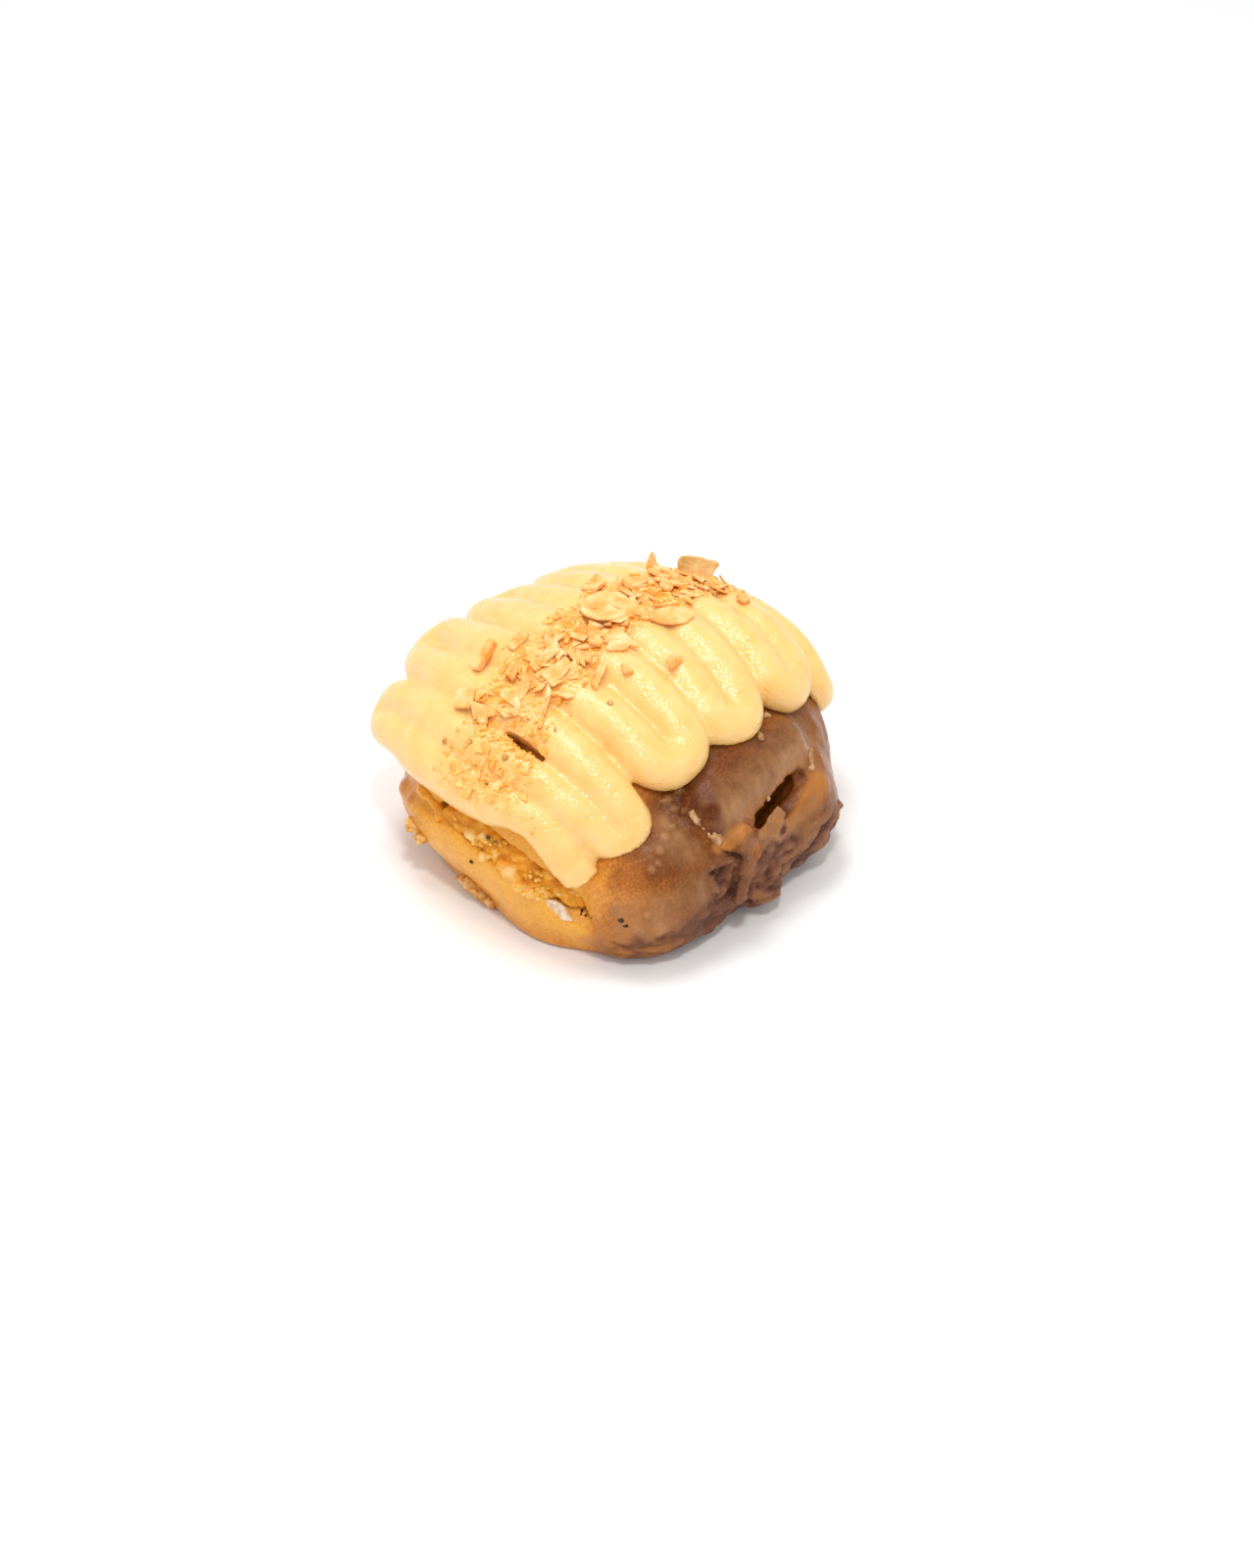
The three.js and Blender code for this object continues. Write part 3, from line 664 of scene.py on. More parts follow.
filling_field = smooth_max(filling_distance(*GRID), smooth_field - FILLING_PROUD, 0.6)
paste_field = filling_field.copy()
dice = np.random.default_rng(21)
dough_tree = BVHTree.FromPolygons(
    [Vector(p) for p in dough_points.tolist()], [tuple(f) for f in dough_faces.tolist()]
)
for _ in range(GRAIN_COUNT):
    y = dice.uniform(-25.5, 11.5)
    bow = math.sqrt(max(0, 1 - ((y - FILLING_MID_Y) / FILLING_HALF_Y) ** 2))
    z = filling_line(y) + FILLING_HALF_Z * bow * dice.uniform(-1.2, 1.2)
    end = -1 if dice.random() < 0.6 else 1
    size = 0.5 + 1.0 * dice.random() ** 2
    line = np.linspace(60, 30, 61)
    depth = plain_dough(end * line, np.full(61, y), np.full(61, z))
    x = end * (line[np.argmax(depth < 0)] + dice.uniform(-0.9, 0.2))
    centre = (x, y, z)
    reach = np.full(3, size + 1.5)
    work_near(
        filling_field, np.array(centre) - reach, np.array(centre) + reach,
        lambda *p: ellipsoid_distance(*p, centre, (size, size * 1.15, size * 0.85)), 0.2,
    )
for place, half in BIG_GRAINS:
    work_near(
        filling_field, np.array(place) - 4, np.array(place) + 4,
        lambda *p: ellipsoid_distance(*p, place, half), 0.2,
    )
filling_points, filling_faces = skin_of(filling_field)
filling_normals = normals_of(filling_points, filling_faces)
at_end = step(np.abs(filling_points[:, 0]), 36, 42)
rough = (0.3 * soft_noise(filling_points, 1.5, 22) + 0.2 * soft_noise(filling_points, 3, 23)) * at_end
cell = np.clip(np.round((filling_points - GRID_LOW) / GRID_STEP).astype(int), 0, np.array(GRID_COUNTS) - 1)
lump = step(paste_field[tuple(cell.T)], 0.0, 0.9)
lump = np.clip(0.15 + 0.75 * lump + 0.25 * soft_noise(filling_points, 4, 24), 0, 1)
BURNT_SPOTS = [((-46.8, -3.2, 24.7), 0.9), ((-47.6, -1.6, 21.0), 0.5), ((-46.5, -4.8, 23.6), 0.6)]
burnt = np.zeros(len(filling_points))
for centre, radius in BURNT_SPOTS:
    gap = np.linalg.norm(filling_points - np.array(centre), axis=1)
    burnt = np.maximum(burnt, step(radius - gap + 0.5 * soft_noise(filling_points, 0.9, 25), -0.2, 0.3))
shows = step(smooth_field[tuple(cell.T)], -1.0, -0.2) * at_end
shows *= step(soft_noise(filling_points, 4, 26), -0.15, 0.35)
filling_points = filling_points + filling_normals * rough[:, None]
paste_material = filling_material()
filling = new_piece(
    "filling_layer", filling_points, filling_faces, paste_material, "filling", ["filling"],
    {"lump": lump, "burnt": 0.9 * burnt, "shows": shows},
)

# ---------------------------------------------------------------------------------------------
# The cream: custard buttercream from a 12 mm round nozzle, one ribbon laid to and fro across
# the bun in eleven strands from its cut tip to its far end, each strand pressed against the last.

STRANDS = [
    (-32.6, -36.0, -38.6), (-26.0, -28.4, -29.6), (-18.0, -20.0, -23.6), (-10.5, -12.2, -14.2),
    (-3.2, -4.5, -6.6), (3.4, 2.0, -0.6), (9.6, 8.0, 6.4), (15.6, 14.2, 15.4),
    (22.0, 21.6, 22.8), (28.6, 29.6, 32.4), (35.0, 37.8, 42.6),
]
RADII = [5.0, 4.8, 5.4, 5.8, 6.0, 6.0, 6.0, 5.9, 5.8, 5.5, 5.4]
LEFT_REACH = [24.5, 23.2, 22.0, 20.4, 21.0, 20.5]
RIGHT_REACH = [-27.0, -20.8, -21.2, -20.0, -20.0]
TIP_REACH = -30.0
HALF_SPAN = 26.0
OVERHANG = 2.0
TURN_POINTS = 9
PATH_STEP = 0.8
RIBBON_SIDES = 28
FIRST_BEND, FIRST_BEND_AT, FIRST_BEND_WIDTH = 2.4, -16.0, 6.0
PRESSED_RADIUS, PRESSED_SINK = 2.2, 2.8
BACK_SINK = 1.4
SLIT = (-2.0, -11.5)
SLIT_HALF_WIDTH = 0.95


def on_dome(s, t):
    """A point of the dome that the ribbon's middle runs on, from unrolled coordinates."""
    rho = np.maximum(super_norm(s, t, DOME_HALF_X, DOME_HALF_Y, PLAN_POWER), 1e-6)
    angle = np.minimum(rho, 1.3) * math.pi / 2
    k = np.abs(np.sin(angle)) ** (2 / DOME_POWER) / rho
    c = np.cos(angle)
    z = DOME_WAIST + np.sign(c) * (DOME_TOP - DOME_WAIST) * np.abs(c) ** (2 / DOME_POWER)
    return np.stack([DOME_X + s * k, DOME_Y + t * k, z], -1)


def dome_normal(s, t):
    """The direction straight out of the dome, from unrolled coordinates."""
    e = 0.2
    along = on_dome(s + e, t) - on_dome(s - e, t)
    across = on_dome(s, t + e) - on_dome(s, t - e)
    normal = np.cross(along, across)
    return normal / np.linalg.norm(normal, axis=-1, keepdims=True)


def strand_place(i, t):
    """Where strand i of the ribbon runs along the bun, at the place t across it."""
    left, middle, right = STRANDS[i]
    u = min(1.2, abs(t) / HALF_SPAN) ** 1.5
    place = middle + ((left if t > 0 else right) - middle) * u
    if i == 0:
        place += FIRST_BEND * math.exp(-(((t - FIRST_BEND_AT) / FIRST_BEND_WIDTH) ** 2))
    return place


def ribbon_path():
    """The ribbon's middle line in unrolled coordinates, at even steps."""
    line = []
    for i in range(len(STRANDS)):
        left = LEFT_REACH[i // 2]
        right = TIP_REACH if i == 0 else RIGHT_REACH[(i - 1) // 2]
        start, end = (right, left) if i % 2 == 0 else (left, right)
        line += [(strand_place(i, t), t) for t in np.linspace(start, end, 13)]
        if i + 1 < len(STRANDS):
            s0, s1 = strand_place(i, end), strand_place(i + 1, end)
            side = 1 if i % 2 == 0 else -1
            for k in range(1, TURN_POINTS):
                a = math.pi * k / TURN_POINTS
                r = (s1 - s0) / 2
                line.append(((s0 + s1) / 2 - r * math.cos(a), end + side * r * math.sin(a)))
    line = np.array(line)
    lengths = np.concatenate([[0], np.cumsum(np.linalg.norm(np.diff(line, axis=0), axis=1))])
    even = np.arange(0, lengths[-1], PATH_STEP)
    return np.stack([np.interp(even, lengths, line[:, k]) for k in range(2)], -1)


def ribbon_tree():
    """Geometry Nodes: sweeps a round section along a path, scaled by the path's own radius."""
    tree = bpy.data.node_groups.new("piped_ribbon", "GeometryNodeTree")
    tree.interface.new_socket("Geometry", in_out="INPUT", socket_type="NodeSocketGeometry")
    sides = tree.interface.new_socket("Sides", in_out="INPUT", socket_type="NodeSocketInt")
    finish = tree.interface.new_socket("Material", in_out="INPUT", socket_type="NodeSocketMaterial")
    tree.interface.new_socket("Geometry", in_out="OUTPUT", socket_type="NodeSocketGeometry")
    start = add_node(tree, "NodeGroupInput")
    curve = add_node(tree, "GeometryNodeMeshToCurve", {"Mesh": start.outputs["Geometry"]})
    radius = add_node(tree, "GeometryNodeInputNamedAttribute", {"Name": "radius"}, data_type="FLOAT")
    section = add_node(
        tree, "GeometryNodeCurvePrimitiveCircle",
        {"Resolution": start.outputs["Sides"], "Radius": 1.0}, mode="RADIUS",
    )
    swept = add_node(
        tree, "GeometryNodeCurveToMesh",
        {"Curve": curve.outputs[0], "Profile Curve": section.outputs[0],
         "Scale": radius.outputs["Attribute"], "Fill Caps": True},
    )
    real = add_node(tree, "GeometryNodeRealizeInstances", {"Geometry": swept.outputs[0]})
    done = add_node(
        tree, "GeometryNodeSetMaterial",
        {"Geometry": real.outputs[0], "Material": start.outputs["Material"]},
    )
    add_node(tree, "NodeGroupOutput", {"Geometry": done.outputs[0]})
    return tree, {"Sides": sides.identifier, "Material": finish.identifier}


def run_nodes(source, tree, sockets, settings):
    """The plain mesh that a tree makes from a source object, with its inputs set first."""
    modifier = source.modifiers.new("nodes", "NODES")
    modifier.node_group = tree
    for key, value in settings.items():
        modifier[sockets[key]] = value
    source.update_tag()
    bpy.context.view_layer.update()
    depsgraph = bpy.context.evaluated_depsgraph_get()
    made = bpy.data.meshes.new_from_object(source.evaluated_get(depsgraph), depsgraph=depsgraph)
    source.modifiers.remove(modifier)
    return made


def cream_material():
    """Custard buttercream: pale yellow, moist, with light sinking a little way in. Its fine
    grain breaks the shine on the crowns into glints. It is tinted a patchy deeper orange on top
    along the band of almonds, most of all round one spot near the band's middle."""
    material, tree, shader = new_material("piped_custard_buttercream")
    where = add_node(tree, "ShaderNodeTexCoord").outputs["Object"]
    band_tint = add_node(tree, "ShaderNodeAttribute", attribute_name="band_tint").outputs["Fac"]
    clouds = add_node(tree, "ShaderNodeTexNoise", {"Vector": where, "Scale": repeats(4.55), "Detail": 3})
    grain = add_node(
        tree, "ShaderNodeTexNoise", {"Vector": where, "Scale": repeats(0.667), "Detail": 1, "Roughness": 0.6}
    )
    swirl = add_node(tree, "ShaderNodeTexNoise", {"Vector": where, "Scale": repeats(2.38), "Detail": 3})
    ramp = add_node(tree, "ShaderNodeValToRGB", {"Fac": clouds.outputs["Fac"]})
    base = set_ramp(ramp, [(0.3, "#F8C470"), (0.7, "#FDD086")])
    patchy = add_node(
        tree, "ShaderNodeMath", {0: swirl.outputs["Fac"], 1: 5.0, 2: -1.7}, operation="MULTIPLY_ADD"
    )
    amount = add_node(
        tree, "ShaderNodeMath", {0: patchy.outputs[0], 1: band_tint}, operation="MULTIPLY", use_clamp=True
    )
    # Patchy deeper orange where the band tint is given.
    colour = add_node(
        tree, "ShaderNodeMix", {0: amount.outputs[0], 6: base, 7: linear("#F89A12")}, data_type="RGBA"
    )
    tree.links.new(colour.outputs[2], shader.inputs["Base Color"])
    bump = add_node(
        tree, "ShaderNodeBump", {"Height": grain.outputs["Fac"], "Strength": 0.6, "Distance": 0.4 * MM}
    )
    soft = add_node(
        tree, "ShaderNodeBump",
        {"Height": clouds.outputs["Fac"], "Strength": 0.25, "Distance": 1.2 * MM,
         "Normal": bump.outputs["Normal"]},
    )
    tree.links.new(soft.outputs["Normal"], shader.inputs["Normal"])
    shader.inputs["Roughness"].default_value = 0.12
    shader.inputs["IOR"].default_value = 1.45
    shader.inputs["Specular IOR Level"].default_value = 0.8
    shader.inputs["Subsurface Weight"].default_value = 0.45
    shader.inputs["Subsurface Radius"].default_value = (1.0, 0.55, 0.2)
    shader.inputs["Subsurface Scale"].default_value = 1.7 * MM
    return material


cream_finish = cream_material()
path = ribbon_path()
centres = on_dome(path[:, 0], path[:, 1])
pressed = step(path[:, 1], -14, -2) * (1 - step(path[:, 1], 13, 23))
at_back = step(path[:, 0], -10, 6)
lift = OVERHANG * step(path[:, 1], 18, 30) * (1 - at_back)
lift = lift - PRESSED_SINK * pressed - BACK_SINK * at_back * step(path[:, 1], -6, 10)
centres = centres + dome_normal(path[:, 0], path[:, 1]) * lift[:, None]
path_radius = np.interp(path[:, 0], [m for _, m, _ in STRANDS], RADII)
path_radius = path_radius + PRESSED_RADIUS * pressed + 0.16 * soft_noise(centres, 9, 31)

line_mesh = bpy.data.meshes.new("ribbon_line")
line_mesh.from_pydata((centres * MM).tolist(), [(i, i + 1) for i in range(len(centres) - 1)], [])
line_radius = line_mesh.attributes.new("radius", "FLOAT", "POINT")
line_radius.data.foreach_set("value", (path_radius * MM).astype(np.float32))
line_object = bpy.data.objects.new("ribbon_line", line_mesh)
bpy.context.scene.collection.objects.link(line_object)
tree, sockets = ribbon_tree()
swept = run_nodes(line_object, tree, sockets, {"Sides": RIBBON_SIDES, "Material": cream_finish})
bpy.data.objects.remove(line_object)

swept.calc_loop_triangles()
swept_points = np.zeros(len(swept.vertices) * 3)
swept.vertices.foreach_get("co", swept_points)
swept_points = swept_points.reshape(-1, 3) / MM
swept_triangles = np.zeros(len(swept.loop_triangles) * 3, np.int32)
swept.loop_triangles.foreach_get("vertices", swept_triangles)
ribbon_grid = openvdb.FloatGrid.createLevelSetFromPolygons(
    ((swept_points - GRID_LOW) / GRID_STEP).astype(np.float32),
    triangles=swept_triangles.reshape(-1, 3).astype(np.uint32),
    transform=openvdb.createLinearTransform(1.0), halfWidth=3.0,
)
cream_field = np.zeros(GRID_COUNTS, np.float32)
ribbon_grid.copyToArray(cream_field, ijk=(0, 0, 0))
cream_field = cream_field * GRID_STEP
for axis in range(3):
    before = np.roll(cream_field, 1, axis)
    after = np.roll(cream_field, -1, axis)
    cream_field = 0.15 * before + 0.7 * cream_field + 0.15 * after
cream_field = smooth_max(cream_field, 0.15 - smooth_field, 0.8)

# The slit where two strands have pulled apart and the dough shows.
slit_t = np.linspace(*SLIT, 12)
slit_s = np.array([(strand_place(1, t) + strand_place(2, t)) / 2 for t in slit_t])
slit_line = on_dome(slit_s, slit_t)
slit_up = dome_normal(slit_s, slit_t).mean(0)
slit_start, slit_end = slit_line[0], slit_line[-1]
slit_along = slit_end - slit_start
slit_length = np.linalg.norm(slit_along)
slit_along /= slit_length
slit_side = np.cross(slit_along, slit_up)
slit_side /= np.linalg.norm(slit_side)


def slit_distance(x, y, z):
    """Distance to the ragged, pointed gap between the two strands."""
    p = np.stack([x, y, z], -1) - slit_start
    along = p @ slit_along
    ragged = 0.28 * soft_noise(p.reshape(-1, 3), 1.3, 33).reshape(x.shape)
    half = SLIT_HALF_WIDTH * np.sqrt(np.clip(1 - (2 * along / slit_length - 1) ** 2, 0, 1))
    past_the_ends = np.abs(along - slit_length / 2) - slit_length / 2
    return np.maximum(np.abs(p @ slit_side) - half + ragged, past_the_ends)


slit_low = np.minimum(slit_start, slit_end) - 8
slit_high = np.maximum(slit_start, slit_end) + 8
work_near(cream_field, slit_low, slit_high, slit_distance, 0.3, cut=True)

cream_points, cream_faces = skin_of(cream_field)
spread = np.abs(cream_points[:, 1] - DOME_Y)
cream_points = relax(cream_points, cream_faces, 0.35 - 0.1 * step(spread, 14, 32), 2)
cream_normals = normals_of(cream_points, cream_faces)
waves = 0.14 * soft_noise(cream_points, 6, 34) + 0.05 * soft_noise(cream_points, 2.2, 35)
tip_gap = np.linalg.norm(cream_points - centres[0], axis=1)
waves += 0.55 * step(7 - tip_gap, 0, 3) * soft_noise(cream_points, 1.8, 36)
cream_points = cream_points + cream_normals * waves[:, None]


BAND_MIDDLE, BAND_SLOPE, BAND_BOW = 5.0, 0.06, 0.0022
BAND_HALF, BAND_WIDER_LEFT, BAND_WIDER_TIP = 9.5, 2.0, 2.5
BAND_CORE_X, BAND_CORE_Y, BAND_CORE_SPREAD = -7.0, 1.5, 60.0


def almond_band(x, y):
    """How thickly the almonds lie: 1 along the middle of the bun, 0 away from it."""
    middle = BAND_MIDDLE + BAND_SLOPE * x - BAND_BOW * x**2
    half = BAND_HALF + BAND_WIDER_LEFT * step(-x, 5, 30) + BAND_WIDER_TIP * step(-x, 34, 44)
    thick = 1 - step(np.abs(y - middle), 0.5 * half, 1.2 * half)
    return thick * (1 - 0.45 * step(-x, 24, 34)) * (1 - step(x, 36, 46))


band = almond_band(cream_points[:, 0], cream_points[:, 1])
band *= np.clip(0.85 + 0.6 * soft_noise(cream_points, 5, 37), 0.15, 1)
topside = step(cream_normals[:, 2], 0.1, 0.4)
# The orange tint under the almonds: along the band, on the upward faces, strongest round one spot near its
# middle.
from_band_core = (cream_points[:, 0] - BAND_CORE_X) ** 2 + (cream_points[:, 1] - BAND_CORE_Y) ** 2
soaked = np.exp(-from_band_core / BAND_CORE_SPREAD)
cream = new_piece(
    "cream_ribbon", cream_points, cream_faces, cream_finish, "cream", ["cream"],
    {"band_tint": band * topside * (0.65 + 1.2 * soaked), "almond_weight": band * topside},
)
cream_tree = BVHTree.FromPolygons(
    [Vector(p) for p in cream_points.tolist()], [tuple(f) for f in cream_faces.tolist()]
)

# ---------------------------------------------------------------------------------------------
# The large almond pieces: slices and slivers about a millimetre thick, cut from whole blanched
# almonds, and one that still has its skin. They were dropped on the soft cream and stick to it.

# Rings of a chip from its flat back, round its worn edge, to its face: how wide each is as a share
# of the outline, and how high as a share of the thickness.
FLAKE_RINGS = [(0.5, 0.0), (0.92, 0.0), (1.0, 0.3), (1.0, 0.75), (0.93, 1.0), (0.62, 1.0), (0.3, 1.0)]


def flake(corners, thickness, bend, seed, spacing=0.8, wear=0.14, uneven=0.12, rounding=0.25):
    """Points and faces of a thin chip with worn edges, from its corners in order."""
    rolls = np.random.default_rng(seed)
    corners = np.array(corners, float)
    edge = []
    for a, b in zip(corners, np.roll(corners, -1, 0)):
        count = max(1, round(np.linalg.norm(b - a) / spacing))
        edge += [a + (b - a) * u for u in np.arange(count) / count]
    edge = np.array(edge)
    edge = edge + rolls.normal(0, wear, edge.shape)
    edge = (1 - 2 * rounding) * edge + rounding * (np.roll(edge, 1, 0) + np.roll(edge, -1, 0))
    centre = edge.mean(0)
    n = len(edge)
    points = [(*centre, 0.0)]
    for share, height in FLAKE_RINGS:
        ring = centre + (edge - centre) * share
        rise = height * thickness * (1 + uneven * rolls.normal(0, 1, n))
        points += [(x, y, z) for (x, y), z in zip(ring, rise)]
    points.append((*centre, thickness))
    points = np.array(points)
    points[:, 2] += bend * (points[:, 0] - centre[0]) ** 2
    faces = [(0, 1 + (k + 1) % n, 1 + k) for k in range(n)]
    for r in range(len(FLAKE_RINGS) - 1):
        for k in range(n):
            a, b = 1 + r * n + k, 1 + r * n + (k + 1) % n
            faces.append((a, b, b + n, a + n))
    last = 1 + (len(FLAKE_RINGS) - 1) * n
    faces += [(last + k, last + (k + 1) % n, len(points) - 1) for k in range(n)]
    return points, faces


def oval(half_x, half_y, count=24):
    """Corners of an oval outline."""
    a = np.arange(count) * 2 * math.pi / count
    return np.stack([half_x * np.cos(a), half_y * np.sin(a)], -1)


def turned(points, tilt_x, tilt_y, turn):
    """Points tilted about X and about Y, then turned about Z."""
    cx, sx, cy, sy = math.cos(tilt_x), math.sin(tilt_x), math.cos(tilt_y), math.sin(tilt_y)
    cz, sz = math.cos(turn), math.sin(turn)
    about_x = np.array([[1, 0, 0], [0, cx, -sx], [0, sx, cx]])
    about_y = np.array([[cy, 0, sy], [0, 1, 0], [-sy, 0, cy]])
    about_z = np.array([[cz, -sz, 0], [sz, cz, 0], [0, 0, 1]])
    return points @ (about_z @ about_y @ about_x).T


def facing(points, normal):
    """Turns points so that their +Z becomes the given normal."""
    turn = Vector((0, 0, 1)).rotation_difference(Vector(normal)).to_matrix()
    return points @ np.array(turn).T


def dome_slope(x, y):
    """The direction straight out of the dome above a point of the base."""
    rho = super_norm(x - DOME_X, y - DOME_Y, DOME_HALF_X, DOME_HALF_Y, PLAN_POWER)
    height = DOME_WAIST + (DOME_TOP - DOME_WAIST) * (1 - rho**DOME_POWER) ** (1 / DOME_POWER)
    e = 0.25
    slopes = [
        dome_shape(x + e, y, height) - dome_shape(x - e, y, height),
        dome_shape(x, y + e, height) - dome_shape(x, y - e, height),
        dome_shape(x, y, height + e) - dome_shape(x, y, height - e),
    ]
    return np.array(slopes) / np.linalg.norm(slopes)


def settle(points, tree, press):
    """Lowers points straight down until they are pressed a little way into the cream."""
    gaps = []
    for x, y, z in points:
        hit = tree.ray_cast(Vector((x, y, 90)), Vector((0, 0, -1)))[0]
        if hit is not None:
            gaps.append(z - hit.z)
    return points - np.array([0, 0, min(gaps) + press])


def lay(points, x, y, tilt=(0, 0), turn=0.0, press=0.35, raised=0.0, upright=False):
    """Lays a chip on the cream at (x, y), tilted about its own axes and turned about the
    dome's normal, or about the vertical if it stands upright."""
    points = turned(points, *tilt, turn)
    if not upright:
        points = facing(points, dome_slope(x, y))
    points = settle(points + np.array([x, y, 80.0]), cream_tree, press)
    return points + np.array([0, 0, raised])


def almond_material():
    """Blanched almond: peach to ivory, dry, with fine fibres, and letting a little light
    through at its edges."""
    material, tree, shader = new_material("blanched_sliced_almond")
    where = add_node(tree, "ShaderNodeTexCoord").outputs["Object"]
    patch = add_node(tree, "ShaderNodeTexNoise", {"Vector": where, "Scale": repeats(4.35), "Detail": 4})
    fibre = add_node(tree, "ShaderNodeTexNoise", {"Vector": where, "Scale": repeats(0.625), "Detail": 3})
    ramp = add_node(tree, "ShaderNodeValToRGB", {"Fac": patch.outputs["Fac"]})
    colour = set_ramp(ramp, [(0.32, "#EE9E48"), (0.5, "#F8BE74"), (0.68, "#FBD59C")])
    tree.links.new(colour, shader.inputs["Base Color"])
    bump = add_node(
        tree, "ShaderNodeBump", {"Height": fibre.outputs["Fac"], "Strength": 0.3, "Distance": 0.2 * MM}
    )
    tree.links.new(bump.outputs["Normal"], shader.inputs["Normal"])
    shader.inputs["Roughness"].default_value = 0.45
    shader.inputs["IOR"].default_value = 1.46
    shader.inputs["Specular IOR Level"].default_value = 0.25
    shader.inputs["Subsurface Weight"].default_value = 0.2
    shader.inputs["Subsurface Radius"].default_value = (1.0, 0.7, 0.45)
    shader.inputs["Subsurface Scale"].default_value = 0.8 * MM
    return material


def almond_crumb_material():
    """Crumbs of toasted almond soaked by the cream: golden, soft and a little translucent."""
    material, tree, shader = new_material("toasted_almond_crumb")
    where = add_node(tree, "ShaderNodeTexCoord").outputs["Object"]
    patch = add_node(tree, "ShaderNodeTexNoise", {"Vector": where, "Scale": repeats(3.03), "Detail": 3})
    ramp = add_node(tree, "ShaderNodeValToRGB", {"Fac": patch.outputs["Fac"]})
    colour = set_ramp(ramp, [(0.35, "#F4A234"), (0.5, "#FBBC58"), (0.65, "#FDD286")])
    tree.links.new(colour, shader.inputs["Base Color"])
    shader.inputs["Roughness"].default_value = 0.45
    shader.inputs["Subsurface Weight"].default_value = 0.3
    shader.inputs["Subsurface Radius"].default_value = (1.0, 0.6, 0.3)
    shader.inputs["Subsurface Scale"].default_value = 0.8 * MM
    return material


def almond_skin_material():
    """Almond cut across with its brown skin left on: tan, in darker and lighter patches."""
    material, tree, shader = new_material("almond_with_skin")
    where = add_node(tree, "ShaderNodeTexCoord").outputs["Object"]
    patch = add_node(tree, "ShaderNodeTexNoise", {"Vector": where, "Scale": repeats(4.17), "Detail": 4})
    ramp = add_node(tree, "ShaderNodeValToRGB", {"Fac": patch.outputs["Fac"]})
    colour = set_ramp(ramp, [(0.3, "#C8984E"), (0.5, "#DEB470"), (0.7, "#EACA90")])
    tree.links.new(colour, shader.inputs["Base Color"])
    bump = add_node(
        tree, "ShaderNodeBump", {"Height": patch.outputs["Fac"], "Strength": 0.3, "Distance": 0.4 * MM}
    )
    tree.links.new(bump.outputs["Normal"], shader.inputs["Normal"])
    shader.inputs["Roughness"].default_value = 0.55
    return material


almond_finish = almond_material()
skin_finish = almond_skin_material()
crumb_finish = almond_crumb_material()
# Each large piece: outline, thickness, bend, x, y, tilts, turn and how far it is raised.
CURLED = [(-5.6, -0.6), (-2.4, -2.4), (3.4, -2.2), (6, 0.2), (2.4, 2.4), (-2.6, 2.2)]
NAMED_FLAKES = {
    "almond_round": (oval(6.2, 5.6), 0.9, 0.006, 1.6, 6.6, (0, 0), 0.3, 0.2),
    "almond_standing": (
        [(-4.4, -2.4), (2.8, -2.6), (5.2, 1.3), (0.4, 2.5), (-3.9, 3.1), (-5, 1.2)],
        1.5, 0.01, 34.8, 8.1, (1.2, 0), -0.82, -0.6,
    ),
    "almond_curled": (CURLED, 0.9, 0.02, 9.2, -6.2, (0.25, 0), -0.55, 0.3),
    "almond_triangle": (
        [(-4, -2.8), (4.4, -0.6), (0.6, 1.6), (-2, 3.6)], 0.9, 0.008, -5.2, -5, (0.1, 0.12), -1.1, 0.2
    ),
    "almond_square": (
        [(-3.6, -2.6), (3.2, -3), (3.8, 2.4), (-3, 2.8)], 0.9, 0.006, -22.4, -1.6, (0, 0), -0.2, 0.2
    ),
    "almond_stick": (
        [(-4.6, -1.3), (4.2, -1.4), (4.8, 1.1), (-4.2, 1.3)], 1.8, 0.004, -26.6, 17.2, (0, 0), 0.25, 0.1
    ),
    "almond_chip": (
        [(-2.6, -2.2), (2.4, -2.6), (2.8, 2), (-2.2, 2.5)], 0.9, 0.01, -36.8, 13.4, (0, 0), 0.5, 0.1
    ),
}
for seed, (node, entry) in enumerate(NAMED_FLAKES.items()):
    corners, thickness, bend, x, y, tilt, turn, raised = entry
    standing = node == "almond_standing"
    points, faces = flake(corners, thickness, bend, 40 + seed, uneven=0.02 if standing else 0.08)
    points = lay(points, x, y, tilt, turn, raised=raised, upright=standing)
    new_piece(
        node.replace("almond", "slice"), points, faces, skin_finish if standing else almond_finish,
        "almond_skin" if standing else "almond", [node], smooth=False,
    )

